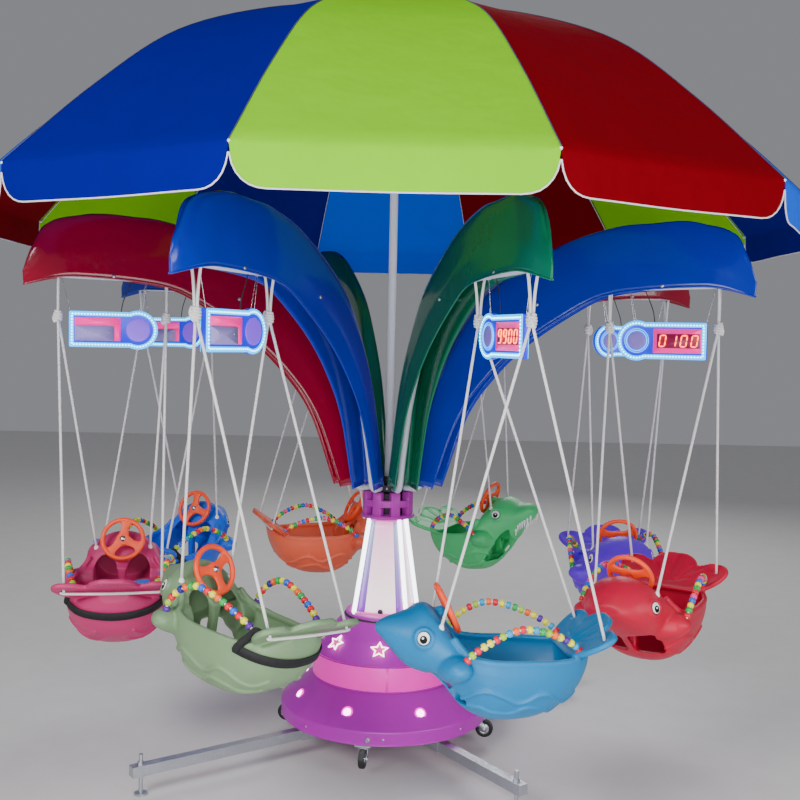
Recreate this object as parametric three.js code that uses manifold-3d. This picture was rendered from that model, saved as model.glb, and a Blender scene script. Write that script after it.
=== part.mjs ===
// Children's chair swing ride: eight animal seats hang on ropes from a turning crown of arms.
// Millimetres, +Z up. The origin is on the ground under the turning axis. The ride's front faces -Y.
import * as THREE from 'three';
import { mergeVertices } from 'three/addons/utils/BufferGeometryUtils.js';
import Module from 'manifold-3d';

const wasm = await Module();
wasm.setup();

// Driving dimensions, angles in degrees counted from the front and growing to the right
const GAP = 0.3;
const ARMS = 8;
const ARM_STEP = 360 / ARMS;
const FIRST_ARM = -71.7;
const SEAT_RADIUS = 1150;
const ROPE_INNER = 945.5;
const ROPE_OUTER = 1354.5;
const ROPE_THICK = 9;
const ARM_TUBE = 28;
const HANG_INNER_Z = 1945;
const HANG_SLOPE = 0.02;
const KNOT_Z = 1792;
const PANELS = 12;
const UMBRELLA_TURN = 15;
const RIM_Z = 2250;
const POLE = 35;
const COLUMN_FOOT_Z = 565;
const COLUMN_TOP_Z = 965;
const COLUMN_TURN = -10.5;
const OUTRIGGER_TURN = 34.5;
const OUTRIGGER_Z = 95;
const OUTRIGGER_TUBE = 40;
const OUTRIGGER_LENGTH = 840;

const FRAME_TOP_Z = COLUMN_FOOT_Z - 12;

const rad = THREE.MathUtils.degToRad;
const UP = new THREE.Vector3(0, 0, 1);
const model = new THREE.Group();

// Solids

// A closed body through rings of the same number of points, closed at both ends round their middle points.
function loft(rings) {
  const count = rings[0].length;
  const points = rings.flat().map((p) => p.clone());
  const index = [];
  for (let k = 0; k < rings.length - 1; k += 1) {
    for (let i = 0; i < count; i += 1) {
      const a = k * count + i;
      const b = k * count + ((i + 1) % count);
      index.push(a, b, b + count, a, b + count, a + count);
    }
  }
  const close = (start, turn) => {
    const middle = new THREE.Vector3();
    for (let i = 0; i < count; i += 1) middle.add(points[start + i]);
    points.push(middle.divideScalar(count));
    for (let i = 0; i < count; i += 1) {
      const pair = [start + i, start + ((i + 1) % count)];
      index.push(points.length - 1, pair[turn], pair[1 - turn]);
    }
  };
  close(0, 1);
  close((rings.length - 1) * count, 0);
  const geometry = new THREE.BufferGeometry().setFromPoints(points);
  geometry.setIndex(index);
  return solid(geometry);
}

// A geometry as a solid for cutting and joining, turned right side out.
function solid(geometry) {
  const bare = geometry.clone();
  bare.deleteAttribute('normal');
  bare.deleteAttribute('uv');
  const merged = mergeVertices(bare, 1e-3);
  const corner = merged.getAttribute('position');
  const triVerts = new Uint32Array(merged.getIndex().array);
  const [a, b, c] = [new THREE.Vector3(), new THREE.Vector3(), new THREE.Vector3()];
  let volume = 0;
  for (let i = 0; i < triVerts.length; i += 3) {
    a.fromBufferAttribute(corner, triVerts[i]);
    b.fromBufferAttribute(corner, triVerts[i + 1]);
    c.fromBufferAttribute(corner, triVerts[i + 2]);
    volume += a.dot(b.cross(c));
  }
  if (volume < 0) triVerts.reverse();
  return new wasm.Manifold(new wasm.Mesh({ numProp: 3, vertProperties: corner.array, triVerts }));
}

function box(width, depth, height, [x, y, z] = [0, 0, 0], turn = 0) {
  const shape = new THREE.BoxGeometry(width, depth, height).translate(x, y, z);
  return solid(shape.rotateZ(rad(turn)));
}

// A round bar between two points.
function bar(from, to, radius, sides = 12, farRadius = radius) {
  const [start, end] = [new THREE.Vector3(...from), new THREE.Vector3(...to)];
  const way = end.clone().sub(start);
  const upright = new THREE.Vector3(0, 1, 0);
  const turn = new THREE.Quaternion().setFromUnitVectors(upright, way.clone().normalize());
  const shape = new THREE.CylinderGeometry(farRadius, radius, way.length(), sides);
  return solid(shape.applyQuaternion(turn).translate(...start.add(end).multiplyScalar(0.5)));
}

// A tube along a smooth curve through points.
function tube(points, radius, sides, steps) {
  const path = new THREE.CatmullRomCurve3(points.map((p) => new THREE.Vector3(...p)), false, 'centripetal');
  const around = Array.from({ length: sides }, (_, i) => {
    const turn = (2 * Math.PI * (i + 0.5)) / sides;
    return new THREE.Vector2(radius * Math.cos(turn), radius * Math.sin(turn));
  });
  return solid(new THREE.ExtrudeGeometry(new THREE.Shape(around), { steps, extrudePath: path }));
}

// A section swept along a bent path that lies in one plane; across is that plane's normal.
function sweep(path, across, section) {
  const points = path.map((p) => new THREE.Vector3(...p));
  const normal = new THREE.Vector3(...across);
  return loft(points.map((p, k) => {
    const [last, next] = [points[Math.max(k - 1, 0)], points[Math.min(k + 1, points.length - 1)]];
    const way = next.clone().sub(last).normalize();
    const up = new THREE.Vector3().crossVectors(way, normal);
    return section.map(([u, v]) => p.clone().addScaledVector(normal, u).addScaledVector(up, v));
  }));
}

function roundSection(radius, sides) {
  return Array.from({ length: sides }, (_, i) => {
    const turn = (2 * Math.PI * (i + 0.5)) / sides;
    return [radius * Math.cos(turn), radius * Math.sin(turn)];
  });
}

// A ring or disc turned round the Z axis from its outline of [radius, height] points.
function turned(outline, segments = 32) {
  const profile = [...outline, outline[0]].map(([r, z]) => new THREE.Vector2(r, z));
  return solid(new THREE.LatheGeometry(profile, segments).rotateX(Math.PI / 2));
}

function joined(...solids) {
  return solids.flat().reduce((whole, next) => whole.add(next));
}

function finish(color, roughness = 0.4, metalness = 0) {
  return new THREE.MeshStandardMaterial({ color, roughness, metalness });
}

function part(name, body, material, group = model) {
  const mesh = body.getMesh();
  const geometry = new THREE.BufferGeometry();
  geometry.setAttribute('position', new THREE.BufferAttribute(new Float32Array(mesh.vertProperties), 3));
  geometry.setIndex(new THREE.BufferAttribute(new Uint32Array(mesh.triVerts), 1));
  geometry.computeVertexNormals();
  const node = new THREE.Mesh(geometry, material);
  node.name = name;
  group.add(node);
}

// A group whose own +X points outward at an angle counted from the front.
function facing(angle) {
  const group = new THREE.Group();
  group.rotation.z = rad(angle - 90);
  model.add(group);
  return group;
}

// Materials
const pink = finish('#c4379e', 0.35);
const steel = finish('#b9bcc2', 0.35, 0.8);
const paint = finish('#d9dbe0', 0.4, 0.3);
const rope = finish('#e8e8ea', 0.8);
const orange = finish('#ff5a1e', 0.4);
const glow = finish('#ff2bd6', 0.3);
const white = finish('#fdf6ff', 0.3);
const ARM_COLORS = ['#b3122e', '#0a5fc4', '#0c8a4a', '#0a5fc4'].map((c) => finish(c, 0.2));
const cloth = finish('#b4d916', 0.85);

// Base: cross of square sockets with a post and four caster plates, under a stepped round cover
const SOCKET = 46;
const SOCKET_BORE = 41;
const SOCKET_END = 420;
const SOCKET_START = 30;
const SKIRT_RADIUS = 444;
const SKIRT_FOOT_Z = 126;
const SKIRT_TOP_Z = 182;
const BAND_RADIUS = 312;
const BAND_WALL = 12;
const BAND_LOW_Z = 295;
const BAND_TOP_Z = 400;
const WALL = 4;
const SLOPED_WALL = 5;
const CASTER_RADIUS = 412;
const CASTER_PLATE_Z = SKIRT_FOOT_Z - GAP;
const CASTER_PLATE_WIDTH = 64;
const CASTER_PLATE_PAST = 34;
const PLATE_THICK = 6;
const POST = 80;
const POST_FOOT_RADIUS = 90;
const FLANGE_RADIUS = 165;
const FLANGE_THICK = 8;
const SOCKET_TOP_Z = OUTRIGGER_Z + SOCKET / 2;

function baseFrame() {
  const pieces = [];
  const bores = [];
  const reach = CASTER_RADIUS + CASTER_PLATE_PAST;
  const bore = [SOCKET_END, SOCKET_BORE, SOCKET_BORE];
  for (let k = 0; k < 4; k += 1) {
    const across = OUTRIGGER_TURN - 90 + 90 * k;
    const toCaster = COLUMN_TURN - 90 + 90 * k;
    const plateAt = [reach / 2, 0, CASTER_PLATE_Z - PLATE_THICK / 2];
    pieces.push(box(SOCKET_END, SOCKET, SOCKET, [SOCKET_END / 2, 0, OUTRIGGER_Z], across));
    bores.push(box(...bore, [SOCKET_START + SOCKET_END / 2, 0, OUTRIGGER_Z], across));
    pieces.push(box(reach, CASTER_PLATE_WIDTH, PLATE_THICK, plateAt, toCaster));
  }
  const postTall = FRAME_TOP_Z - SOCKET_TOP_Z;
  pieces.push(box(POST, POST, postTall, [0, 0, SOCKET_TOP_Z + postTall / 2], COLUMN_TURN));
  pieces.push(bar([0, 0, FRAME_TOP_Z - FLANGE_THICK], [0, 0, FRAME_TOP_Z], FLANGE_RADIUS, 16));
  pieces.push(bar([0, 0, SOCKET_TOP_Z - 2], [0, 0, CASTER_PLATE_Z - 2], POST_FOOT_RADIUS, 16));
  let frame = joined(pieces);
  for (const hole of bores) frame = frame.subtract(hole);
  return joined(frame, clampScrews());
}

// One clamp screw through the top of each socket's end, just clear of the tube inside.
const SCREW_INSET = 14;
const SCREW_RADIUS = 4;
const SCREW_HEAD = 8;

function clampScrews() {
  const reach = SOCKET_END - SCREW_INSET;
  const low = OUTRIGGER_Z + OUTRIGGER_TUBE / 2 + GAP;
  return [0, 1, 2, 3].map((k) => {
    const turn = rad(OUTRIGGER_TURN - 90 + 90 * k);
    const [x, y] = [reach * Math.cos(turn), reach * Math.sin(turn)];
    return joined(
      bar([x, y, low], [x, y, SOCKET_TOP_Z + 3], SCREW_RADIUS, 8),
      bar([x, y, SOCKET_TOP_Z - 1], [x, y, SKIRT_FOOT_Z - 1], SCREW_HEAD, 6),
    );
  });
}

const BAND_LAP = 8;

function lowerCover() {
  const inner = BAND_RADIUS - BAND_LAP;
  return turned([
    [inner, BAND_LOW_Z - GAP], [SKIRT_RADIUS, SKIRT_TOP_Z], [SKIRT_RADIUS, SKIRT_FOOT_Z],
    [SKIRT_RADIUS - WALL, SKIRT_FOOT_Z], [SKIRT_RADIUS - WALL, SKIRT_TOP_Z - 3],
    [inner, BAND_LOW_Z - SLOPED_WALL],
  ], 28);
}

function lightBand() {
  return turned([
    [BAND_RADIUS, BAND_LOW_Z], [BAND_RADIUS, BAND_TOP_Z], [BAND_RADIUS - BAND_WALL, BAND_TOP_Z],
    [BAND_RADIUS - BAND_WALL, BAND_LOW_Z],
  ], 28);
}

const CONE_LIP = 10;

function upperCone() {
  const [outer, inner] = [FLANGE_RADIUS + WALL + 3, FLANGE_RADIUS - 6];
  const [lipTop, onFrame] = [COLUMN_FOOT_Z - WALL, FRAME_TOP_Z + GAP];
  return turned([
    [BAND_RADIUS - 6, BAND_TOP_Z + GAP], [outer, lipTop - CONE_LIP], [outer, lipTop], [inner, lipTop],
    [inner, onFrame], [outer - WALL, onFrame], [outer - WALL, FRAME_TOP_Z - 10],
    [BAND_RADIUS - BAND_WALL, BAND_TOP_Z + GAP],
  ], 28);
}

part('base_frame', baseFrame(), paint);
part('base_cover', lowerCover(), pink);
part('light_band', lightBand(), glow);
part('upper_cone', upperCone(), pink);

// Column: a four-sided lantern that narrows upward, light bars on its corners and pale panels between them
const COLUMN_FOOT_HALF = 113;
const COLUMN_TOP_HALF = 65;
const COLUMN_LOW_Z = COLUMN_FOOT_Z - 4 + GAP;
const FOOT_PLATE = 7;
const CAP_THICK = 10;
const CORNER_BAR = 9;
const PANEL_INSET = 6;
const PANEL_THICK = 5;
const SPIGOT = 34;
const SPIGOT_BORE = SPIGOT + 3;

function squareRing(half, z) {
  const corners = [[-1, -1], [1, -1], [1, 1], [-1, 1]];
  const turn = rad(COLUMN_TURN);
  return corners.map(([x, y]) => new THREE.Vector3(x * half, y * half, z).applyAxisAngle(UP, turn));
}

function cornerBars(radius) {
  const foot = squareRing(COLUMN_FOOT_HALF, COLUMN_LOW_Z + FOOT_PLATE - 1);
  const head = squareRing(COLUMN_TOP_HALF, COLUMN_TOP_Z - 4);
  return joined(foot.map((p, i) => bar(p.toArray(), head[i].toArray(), radius, 6)));
}

function squarePlate(half, low, high) {
  return loft([squareRing(half, low), squareRing(half, high)]);
}

function columnFrame() {
  const plate = squarePlate(COLUMN_FOOT_HALF + 8, COLUMN_LOW_Z, COLUMN_LOW_Z + FOOT_PLATE);
  const collar = bar([0, 0, FRAME_TOP_Z + GAP], [0, 0, COLUMN_LOW_Z + 2], FLANGE_RADIUS - 10, 16);
  const cap = squarePlate(COLUMN_TOP_HALF + 6, COLUMN_TOP_Z - CAP_THICK, COLUMN_TOP_Z);
  const bore = bar([0, 0, COLUMN_TOP_Z - 3 * CAP_THICK], [0, 0, COLUMN_TOP_Z + CAP_THICK], SPIGOT_BORE, 16);
  return joined(plate, collar, cap, cornerBars(CORNER_BAR)).subtract(bore);
}

function columnPanels() {
  const low = COLUMN_LOW_Z + FOOT_PLATE + GAP;
  const high = COLUMN_TOP_Z - CAP_THICK - GAP;
  const narrowing = (COLUMN_TOP_HALF - COLUMN_FOOT_HALF) / (COLUMN_TOP_Z - COLUMN_FOOT_Z);
  const half = (z) => COLUMN_FOOT_HALF + (z - COLUMN_FOOT_Z) * narrowing - PANEL_INSET;
  const outer = loft([squareRing(half(low), low), squareRing(half(high), high)]);
  const inner = loft([
    squareRing(half(low) - PANEL_THICK, low - 1), squareRing(half(high) - PANEL_THICK, high + 1),
  ]);
  return outer.subtract(inner).subtract(cornerBars(CORNER_BAR + GAP));
}

part('column_frame', columnFrame(), white);
part('column_panels', columnPanels(), white);

// Outriggers: square tubes that slide out of the sockets, each with a jack screw and a foot at its end
const REACH = [1140, 910, 1140, 910];
const FIRST_OUTRIGGER = OUTRIGGER_TURN - 90;
const OUTRIGGER_WALL = 3;
const JACK_INSET = 38;
const JACK_RADIUS = 8;
const JACK_RISE = 40;
const JACK_NUT = [13, 12];
const FOOT = [25, 8];

function outrigger(reach) {
  const middle = reach - OUTRIGGER_LENGTH / 2;
  const jack = reach - JACK_INSET;
  const top = OUTRIGGER_Z + OUTRIGGER_TUBE / 2;
  const rod = box(OUTRIGGER_LENGTH, OUTRIGGER_TUBE, OUTRIGGER_TUBE, [middle, 0, OUTRIGGER_Z]);
  const hollow = OUTRIGGER_TUBE - 2 * OUTRIGGER_WALL;
  const bore = box(OUTRIGGER_LENGTH, hollow, hollow, [middle - OUTRIGGER_WALL, 0, OUTRIGGER_Z]);
  return joined(
    rod.subtract(bore),
    bar([jack, 0, FOOT[1] / 2], [jack, 0, top + JACK_RISE], JACK_RADIUS, 8),
    bar([jack, 0, 0], [jack, 0, FOOT[1]], FOOT[0], 12),
    bar([jack, 0, top - 1], [jack, 0, top + JACK_NUT[1]], JACK_NUT[0], 6),
  );
}

REACH.forEach((reach, k) => {
  part(`outrigger_${k + 1}`, outrigger(reach), steel, facing(FIRST_OUTRIGGER + 90 * k));
});

// Swivel casters under the cover's edge, held clear of the ground by the jacks
const CASTER_WHEEL = 37.5;
const CASTER_TREAD_HALF = 12;
const CASTER_TRAIL = 28;
const CASTER_AXLE_Z = 72;
const CASTER_HEAD = [46, 42, 12];
const FORK_HALF = 17;
const FORK_THICK = 4;
const AXLE = [20, 5];

// One cheek of the fork, from the head down and back to the axle.
function forkCheek(top, y) {
  const low = top - CASTER_HEAD[2];
  const outline = [
    [-20, low], [20, low], [CASTER_TRAIL + 10, CASTER_AXLE_Z - 10], [CASTER_TRAIL - 12, CASTER_AXLE_Z - 8],
  ];
  const face = (d) => outline.map(([x, z]) => new THREE.Vector3(x, y + d, z));
  return loft([face(-FORK_THICK / 2), face(FORK_THICK / 2)]);
}

function caster() {
  const top = CASTER_PLATE_Z - PLATE_THICK - GAP;
  const across = (half) => [[CASTER_TRAIL, -half, CASTER_AXLE_Z], [CASTER_TRAIL, half, CASTER_AXLE_Z]];
  return joined(
    box(...CASTER_HEAD, [0, 0, top - CASTER_HEAD[2] / 2]),
    forkCheek(top, -FORK_HALF),
    forkCheek(top, FORK_HALF),
    bar(...across(CASTER_TREAD_HALF), CASTER_WHEEL, 12),
    bar(...across(AXLE[0]), AXLE[1], 5),
  ).translate([CASTER_RADIUS, 0, 0]);
}

for (let k = 0; k < 4; k += 1) part(`caster_${k + 1}`, caster(), steel, facing(COLUMN_TURN + 90 * k));

// Crown: the turning head on the column, with eight merlons that hold the arms
const CROWN_FOOT_Z = COLUMN_TOP_Z + 0.5;
const CROWN_TOP_Z = 1076;
const CROWN_RADIUS = 108;
const FOOT_FLARE = [116, 112];
const DRUM_RADIUS = 72;
const BELT = [106.5, 1018, 1048];
const MERLON = [32, 40];
const MERLON_Z = [984, CROWN_TOP_Z + 6];
const POLE_SEAT_Z = 1036;
const POLE_BORE = POLE / 2 + 0.5;

function crown() {
  const [low, high] = MERLON_Z;
  const drum = turned([
    [0, COLUMN_TOP_Z - 20], [SPIGOT, COLUMN_TOP_Z - 20], [SPIGOT, CROWN_FOOT_Z],
    [FOOT_FLARE[0], CROWN_FOOT_Z], [FOOT_FLARE[1], CROWN_FOOT_Z + 14],
    [DRUM_RADIUS, CROWN_FOOT_Z + 22], [DRUM_RADIUS, CROWN_TOP_Z], [0, CROWN_TOP_Z],
  ], 16);
  const belt = bar([0, 0, BELT[1]], [0, 0, BELT[2]], BELT[0], 16);
  const merlonAt = [CROWN_RADIUS - MERLON[0] / 2, 0, (low + high) / 2];
  const merlons = Array.from({ length: ARMS }, (_, i) => (
    box(...MERLON, high - low, merlonAt, FIRST_ARM + ARM_STEP * i - 90)
  ));
  const bore = bar([0, 0, POLE_SEAT_Z], [0, 0, 2 * POLE_SEAT_Z], POLE_BORE, 24);
  return joined(drum, belt, merlons).subtract(bore);
}

part('crown', crown(), pink);

// Arms: bent tubes from one hub on the crown, each inside a tall narrow cover
const HUB_Z = MERLON_Z[1] + GAP;
const HUB_TALL = 30;
const HUB_RADIUS = 80;
const HUB_BORE = POLE / 2 + 3;
const hangZ = (radius) => HANG_INNER_Z + (radius - ROPE_INNER) * HANG_SLOPE;
const TUBE_END = 1404;
const ARM_PATH = [
  [40, HUB_Z + HUB_TALL / 2], [128, HUB_Z + HUB_TALL / 2], [150, HUB_Z + HUB_TALL + 4],
  [163, 1165], [198, 1290], [256, 1460], [352, 1630], [488, 1770], [645, 1870], [790, 1928],
  [ROPE_INNER - 30, hangZ(ROPE_INNER - 30)], [TUBE_END, hangZ(TUBE_END)],
];

// Cover sections: top radius and z, lower radius and z, half width at the lower edge, top width's share.
const COVER = [
  [130, 1120, 228, 1108, 50, 0.9], [233, 1543, 334, 1401, 47, 0.78], [361, 1816, 455, 1576, 44, 0.52],
  [489, 1959, 613, 1726, 41, 0.4], [737, 2107, 820, 1861, 40, 0.34], [939, 2171, 935, 1912, 41, 0.34],
  [1085, 2186, 1092, 1935, 41, 0.34], [1265, 2185, 1282, 1944, 40, 0.34], [1404, 2134, 1364, 1938, 34, 0.34],
  [1455, 2040, 1432, 1922, 19, 0.34], [1484, 1962, 1480, 1908, 4, 0.34],
];
const COVER_WALL = 3.5;

function coverRing([topR, topZ, lowR, lowZ, half, ridge]) {
  const middle = 1 - (1 - ridge) * 0.21;
  const outline = [[1, 0], [middle, 0.45], [ridge, 1], [-ridge, 1], [-middle, 0.45], [-1, 0]];
  return outline.map(([side, up]) => new THREE.Vector3(
    lowR + (topR - lowR) * up, side * half, lowZ + (topZ - lowZ) * up,
  ));
}

// A cover section smaller by the wall, whose lower edge lies lower by a given length.
function innerSection([topR, topZ, lowR, lowZ, half, ridge], wall, past = 0) {
  const tall = Math.hypot(topR - lowR, topZ - lowZ);
  const [alongR, alongZ] = [(topR - lowR) / tall, (topZ - lowZ) / tall];
  const top = [topR - alongR * wall, topZ - alongZ * wall];
  const low = [lowR - alongR * past, lowZ - alongZ * past];
  return [...top, ...low, half - wall, ridge];
}

// The cover is one bent channel: outer and inner faces joined along the lower edges and closed at both ends.
function armCover() {
  const rings = COVER.map((section) => [
    ...coverRing(section), ...coverRing(innerSection(section, COVER_WALL)).reverse(),
  ]);
  const count = rings[0].length;
  const index = [];
  for (let k = 0; k < rings.length - 1; k += 1) {
    for (let i = 0; i < count; i += 1) {
      const [a, b] = [k * count + i, k * count + ((i + 1) % count)];
      index.push(a, b, b + count, a, b + count, a + count);
    }
  }
  for (const [start, order] of [[0, 1], [(rings.length - 1) * count, 0]]) {
    for (let i = 0; i < count / 2 - 1; i += 1) {
      const [a, b, c, d] = [start + i, start + i + 1, start + count - 2 - i, start + count - 1 - i];
      index.push(...(order ? [a, c, b, a, d, c] : [a, b, c, a, c, d]));
    }
  }
  const geometry = new THREE.BufferGeometry().setFromPoints(rings.flat());
  geometry.setIndex(index);
  return solid(geometry);
}

// Pins across the arm tube that the cover's walls are screwed to.
const COVER_PIN = [5, 4];
const PIN_PLACES = [[660, 1878], [SEAT_RADIUS, hangZ(SEAT_RADIUS)]];

function coverPins() {
  const inside = loft(COVER.slice(0, -1).map((section) => (
    coverRing(innerSection(section, COVER_WALL + GAP, 30))
  )));
  return joined(PIN_PLACES.map(([r, z]) => bar([r, -80, z], [r, 80, z], ...COVER_PIN))).intersect(inside);
}

function armFrame() {
  const arm = joined(
    sweep(ARM_PATH.map(([r, z]) => [r, 0, z]), [0, 1, 0], roundSection(ARM_TUBE / 2, 6)),
    coverPins(),
  );
  const hubTop = HUB_Z + HUB_TALL;
  const hub = turned([[HUB_BORE, HUB_Z], [HUB_RADIUS, HUB_Z], [HUB_RADIUS, hubTop], [HUB_BORE, hubTop]], 16);
  const arms = Array.from({ length: ARMS }, (_, i) => arm.rotate([0, 0, FIRST_ARM - 90 + ARM_STEP * i]));
  return joined(hub, arms).subtract(bar([0, 0, HUB_Z - 5], [0, 0, HUB_Z + 60], HUB_BORE, 16));
}

part('arm_frame', armFrame(), paint);

// Signs: a panel with a disc at the inner end and square at the outer end, on two wires under each arm
const SIGN_INNER = 978;
const SIGN_OUTER = 1315;
const SIGN_HALF = 70;
const SIGN_DISC = 77;
const SIGN_Z = 1744;
const SIGN_THICK = 26;
const SIGN_WIRE = 1.6;
const WIRE_ENDS = [[1042, 1020], [1308, 1340]];

function sign() {
  const outline = new THREE.Shape();
  const neck = Math.asin(SIGN_HALF / SIGN_DISC);
  outline.moveTo(SIGN_OUTER, -SIGN_HALF);
  outline.lineTo(SIGN_OUTER, SIGN_HALF);
  outline.absarc(SIGN_INNER + SIGN_DISC, 0, SIGN_DISC, neck, 2 * Math.PI - neck, false);
  const shape = { depth: SIGN_THICK, bevelEnabled: false, curveSegments: 8 };
  const plate = new THREE.ExtrudeGeometry(outline, shape);
  plate.rotateX(Math.PI / 2).translate(0, SIGN_THICK / 2, SIGN_Z);
  const wires = WIRE_ENDS.map(([low, high]) => bar(
    [low, 0, SIGN_Z + SIGN_HALF - 4], [high, 0, hangZ(high) - ARM_TUBE / 2 - 2 * GAP], SIGN_WIRE, 4,
  ));
  return joined(solid(plate), wires);
}

// Animal seats: a bowl hull with a head in front and a fluke behind
// Hull sections: [forward, keel z, widest z, top z, half width]
const BOWL = [
  [-288, 712, 738, 760, 56], [-262, 640, 716, 746, 112], [-222, 580, 706, 726, 150],
  [-160, 538, 708, 720, 180], [-80, 508, 712, 726, 196], [40, 506, 719, 733, 199],
  [110, 531, 730, 748, 188],
];
const HEADS = {
  dolphin: {
    bowlEnd: 7,
    sections: [
      [152, 566, 738, 770, 172], [188, 614, 746, 830, 162], [226, 654, 758, 876, 152],
      [262, 668, 768, 886, 137], [300, 682, 778, 867, 112], [352, 734, 792, 850, 74],
      [409, 802, 812, 824, 18],
    ],
    wheel: [172, 866],
    eyelet: [198, 839, 112],
    wellFront: 122,
    fin: [168, 242],
    legSlope: 0.85,
  },
  whale: {
    bowlEnd: 7,
    sections: [
      [152, 562, 742, 772, 174], [190, 598, 752, 846, 160], [240, 644, 762, 884, 150],
      [300, 688, 772, 884, 134], [362, 740, 786, 852, 100], [398, 784, 800, 818, 42],
    ],
    wheel: [182, 874],
    eyelet: [228, 845, 113],
    wellFront: 122,
    fin: [180, 226],
    legSlope: 0.65,
  },
  crocodile: {
    bowlEnd: 5,
    sections: [
      [18, 514, 724, 744, 196], [56, 530, 740, 836, 178], [100, 566, 762, 884, 152],
      [158, 622, 784, 903, 126], [204, 686, 800, 888, 106], [236, 748, 812, 873, 92],
      [288, 778, 826, 870, 66], [314, 806, 838, 856, 30],
    ],
    wheel: [52, 893],
    eyelet: [98, 868, 118],
    wellFront: 0,
    fin: [70, 226],
    legSlope: 0.1,
  },
};

// Each seat's kind and colour, and how it hangs at rest on its ropes, which are not equally long.
// Shift: millimetres forward, outward and up. Turn: degrees that the head turns outward, that the
// head lifts, and that the outer side lifts.
const SEATS = [
  { kind: 'dolphin', color: '#e0637f', shift: [0, -30, 15], turn: [-8, 0, 0] },
  { kind: 'dolphin', color: '#8fa98c', shift: [-25, -32, 46], turn: [-13, 3, 7] },
  { kind: 'dolphin', color: '#14a7c6', shift: [-17, 0, -5], turn: [-13, -2, 3] },
  { kind: 'whale', color: '#c9123a', shift: [0, -22, 22], turn: [-7, -5, 0] },
  { kind: 'whale', color: '#7a2fc4', shift: [-18, -26, -5], turn: [-22, -1, 4] },
  { kind: 'crocodile', color: '#3fb06a', shift: [-10, 5, 12], turn: [-6, 3, 3] },
  { kind: 'dolphin', color: '#d9694f', shift: [0, 0, -28], turn: [0, -4, 1] },
  { kind: 'dolphin', color: '#2f7fd0', shift: [0, 0, 0], turn: [3, 3, 1] },
];
const REST_Z = 720;
const HULL_WALL = 13;
const LEG_Z = 574;
const LEG_TOP_Z = 780;
const LEG_HALF = 52;
const LEG_SIDE = 65;
const AROUND = [0, 45, 90, 135, 180, 222, 270, 318];

// In a seat's own directions x is outward, y is backward and z is up.
const seatPoint = (forward, side, z) => new THREE.Vector3(SEAT_RADIUS + side, -forward, z);

// The move from a seat that hangs level and straight to the way this one hangs.
function restMove({ shift: [forward, outward, up], turn: [yaw, pitch, roll] }) {
  const angles = new THREE.Euler(-rad(pitch), -rad(roll), rad(yaw), 'ZYX');
  const turn = new THREE.Matrix4().makeRotationFromEuler(angles);
  const back = new THREE.Matrix4().makeTranslation(-SEAT_RADIUS, 0, -REST_Z);
  const place = new THREE.Matrix4().makeTranslation(SEAT_RADIUS + outward, -forward, REST_Z + up);
  return place.multiply(turn).multiply(back);
}

function hullRing([forward, keel, widest, top, half]) {
  return AROUND.map((turn) => {
    const [across, up] = [Math.cos(rad(turn)), Math.sin(rad(turn))];
    const full = up < 0 ? Math.sign(across) * Math.abs(across) ** 0.8 : across;
    return seatPoint(forward, half * full, widest + up * (up < 0 ? widest - keel : top - widest));
  });
}

function hullSections(head) {
  return [...BOWL.slice(0, head.bowlEnd), ...head.sections];
}

const OPEN_TOP_Z = 1100;

function well(head) {
  const rings = BOWL.slice(2, head.bowlEnd).filter(([forward]) => forward < head.wellFront - 10)
    .map(([forward, keel, widest, , half]) => hullRing([
      forward + 6, keel + HULL_WALL, widest + 2, OPEN_TOP_Z, half - HULL_WALL,
    ]));
  const [, keel, widest, , half] = BOWL[head.bowlEnd - 1];
  rings.push(hullRing([head.wellFront, keel + HULL_WALL + 6, widest + 2, OPEN_TOP_Z, half - HULL_WALL - 6]));
  return loft(rings);
}

// Two arched tunnels for the legs through the wall under the head, with a post between them.
// They sink forward.
function legHoles(head) {
  return joined([-1, 1].map((side) => loft([-45, 200].map((ahead) => {
    const top = LEG_TOP_Z - head.legSlope * ahead;
    const spring = LEG_Z + (top - LEG_Z) * 0.6;
    const arch = [[-LEG_HALF, LEG_Z], [LEG_HALF, LEG_Z], [LEG_HALF, spring], [0, top], [-LEG_HALF, spring]];
    return arch.map(([x, z]) => seatPoint(head.wellFront + ahead, side * LEG_SIDE + x, z));
  }))));
}

// The fluke behind the bowl: a thick plate that rises backward and ends in three lobes.
const FLUKE_ROOT = [-225, 728];
const FLUKE_RISE = 0.59;
const FLUKE_THICK = 17;
const FLUKE_HOLE = [-303, 175];
const ROPE_HOLE = 9;

function flukeZ(forward) {
  return FLUKE_ROOT[1] + (FLUKE_ROOT[0] - forward) * FLUKE_RISE;
}

function fluke() {
  const outline = new THREE.Shape();
  outline.moveTo(-115, -28);
  outline.quadraticCurveTo(-170, -4, -206, 44);
  outline.quadraticCurveTo(-240, 104, -200, 128);
  outline.quadraticCurveTo(-150, 148, -97, 112);
  outline.quadraticCurveTo(-78, 176, 0, 172);
  outline.quadraticCurveTo(78, 176, 97, 112);
  outline.quadraticCurveTo(150, 148, 200, 128);
  outline.quadraticCurveTo(240, 104, 206, 44);
  outline.quadraticCurveTo(170, -4, 115, -28);
  const shape = { depth: FLUKE_THICK, bevelEnabled: false, curveSegments: 2 };
  const plate = new THREE.ExtrudeGeometry(outline, shape);
  plate.translate(0, 0, -FLUKE_THICK / 2).rotateX(Math.atan(FLUKE_RISE));
  return solid(plate.translate(SEAT_RADIUS, -FLUKE_ROOT[0], FLUKE_ROOT[1]));
}

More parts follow.
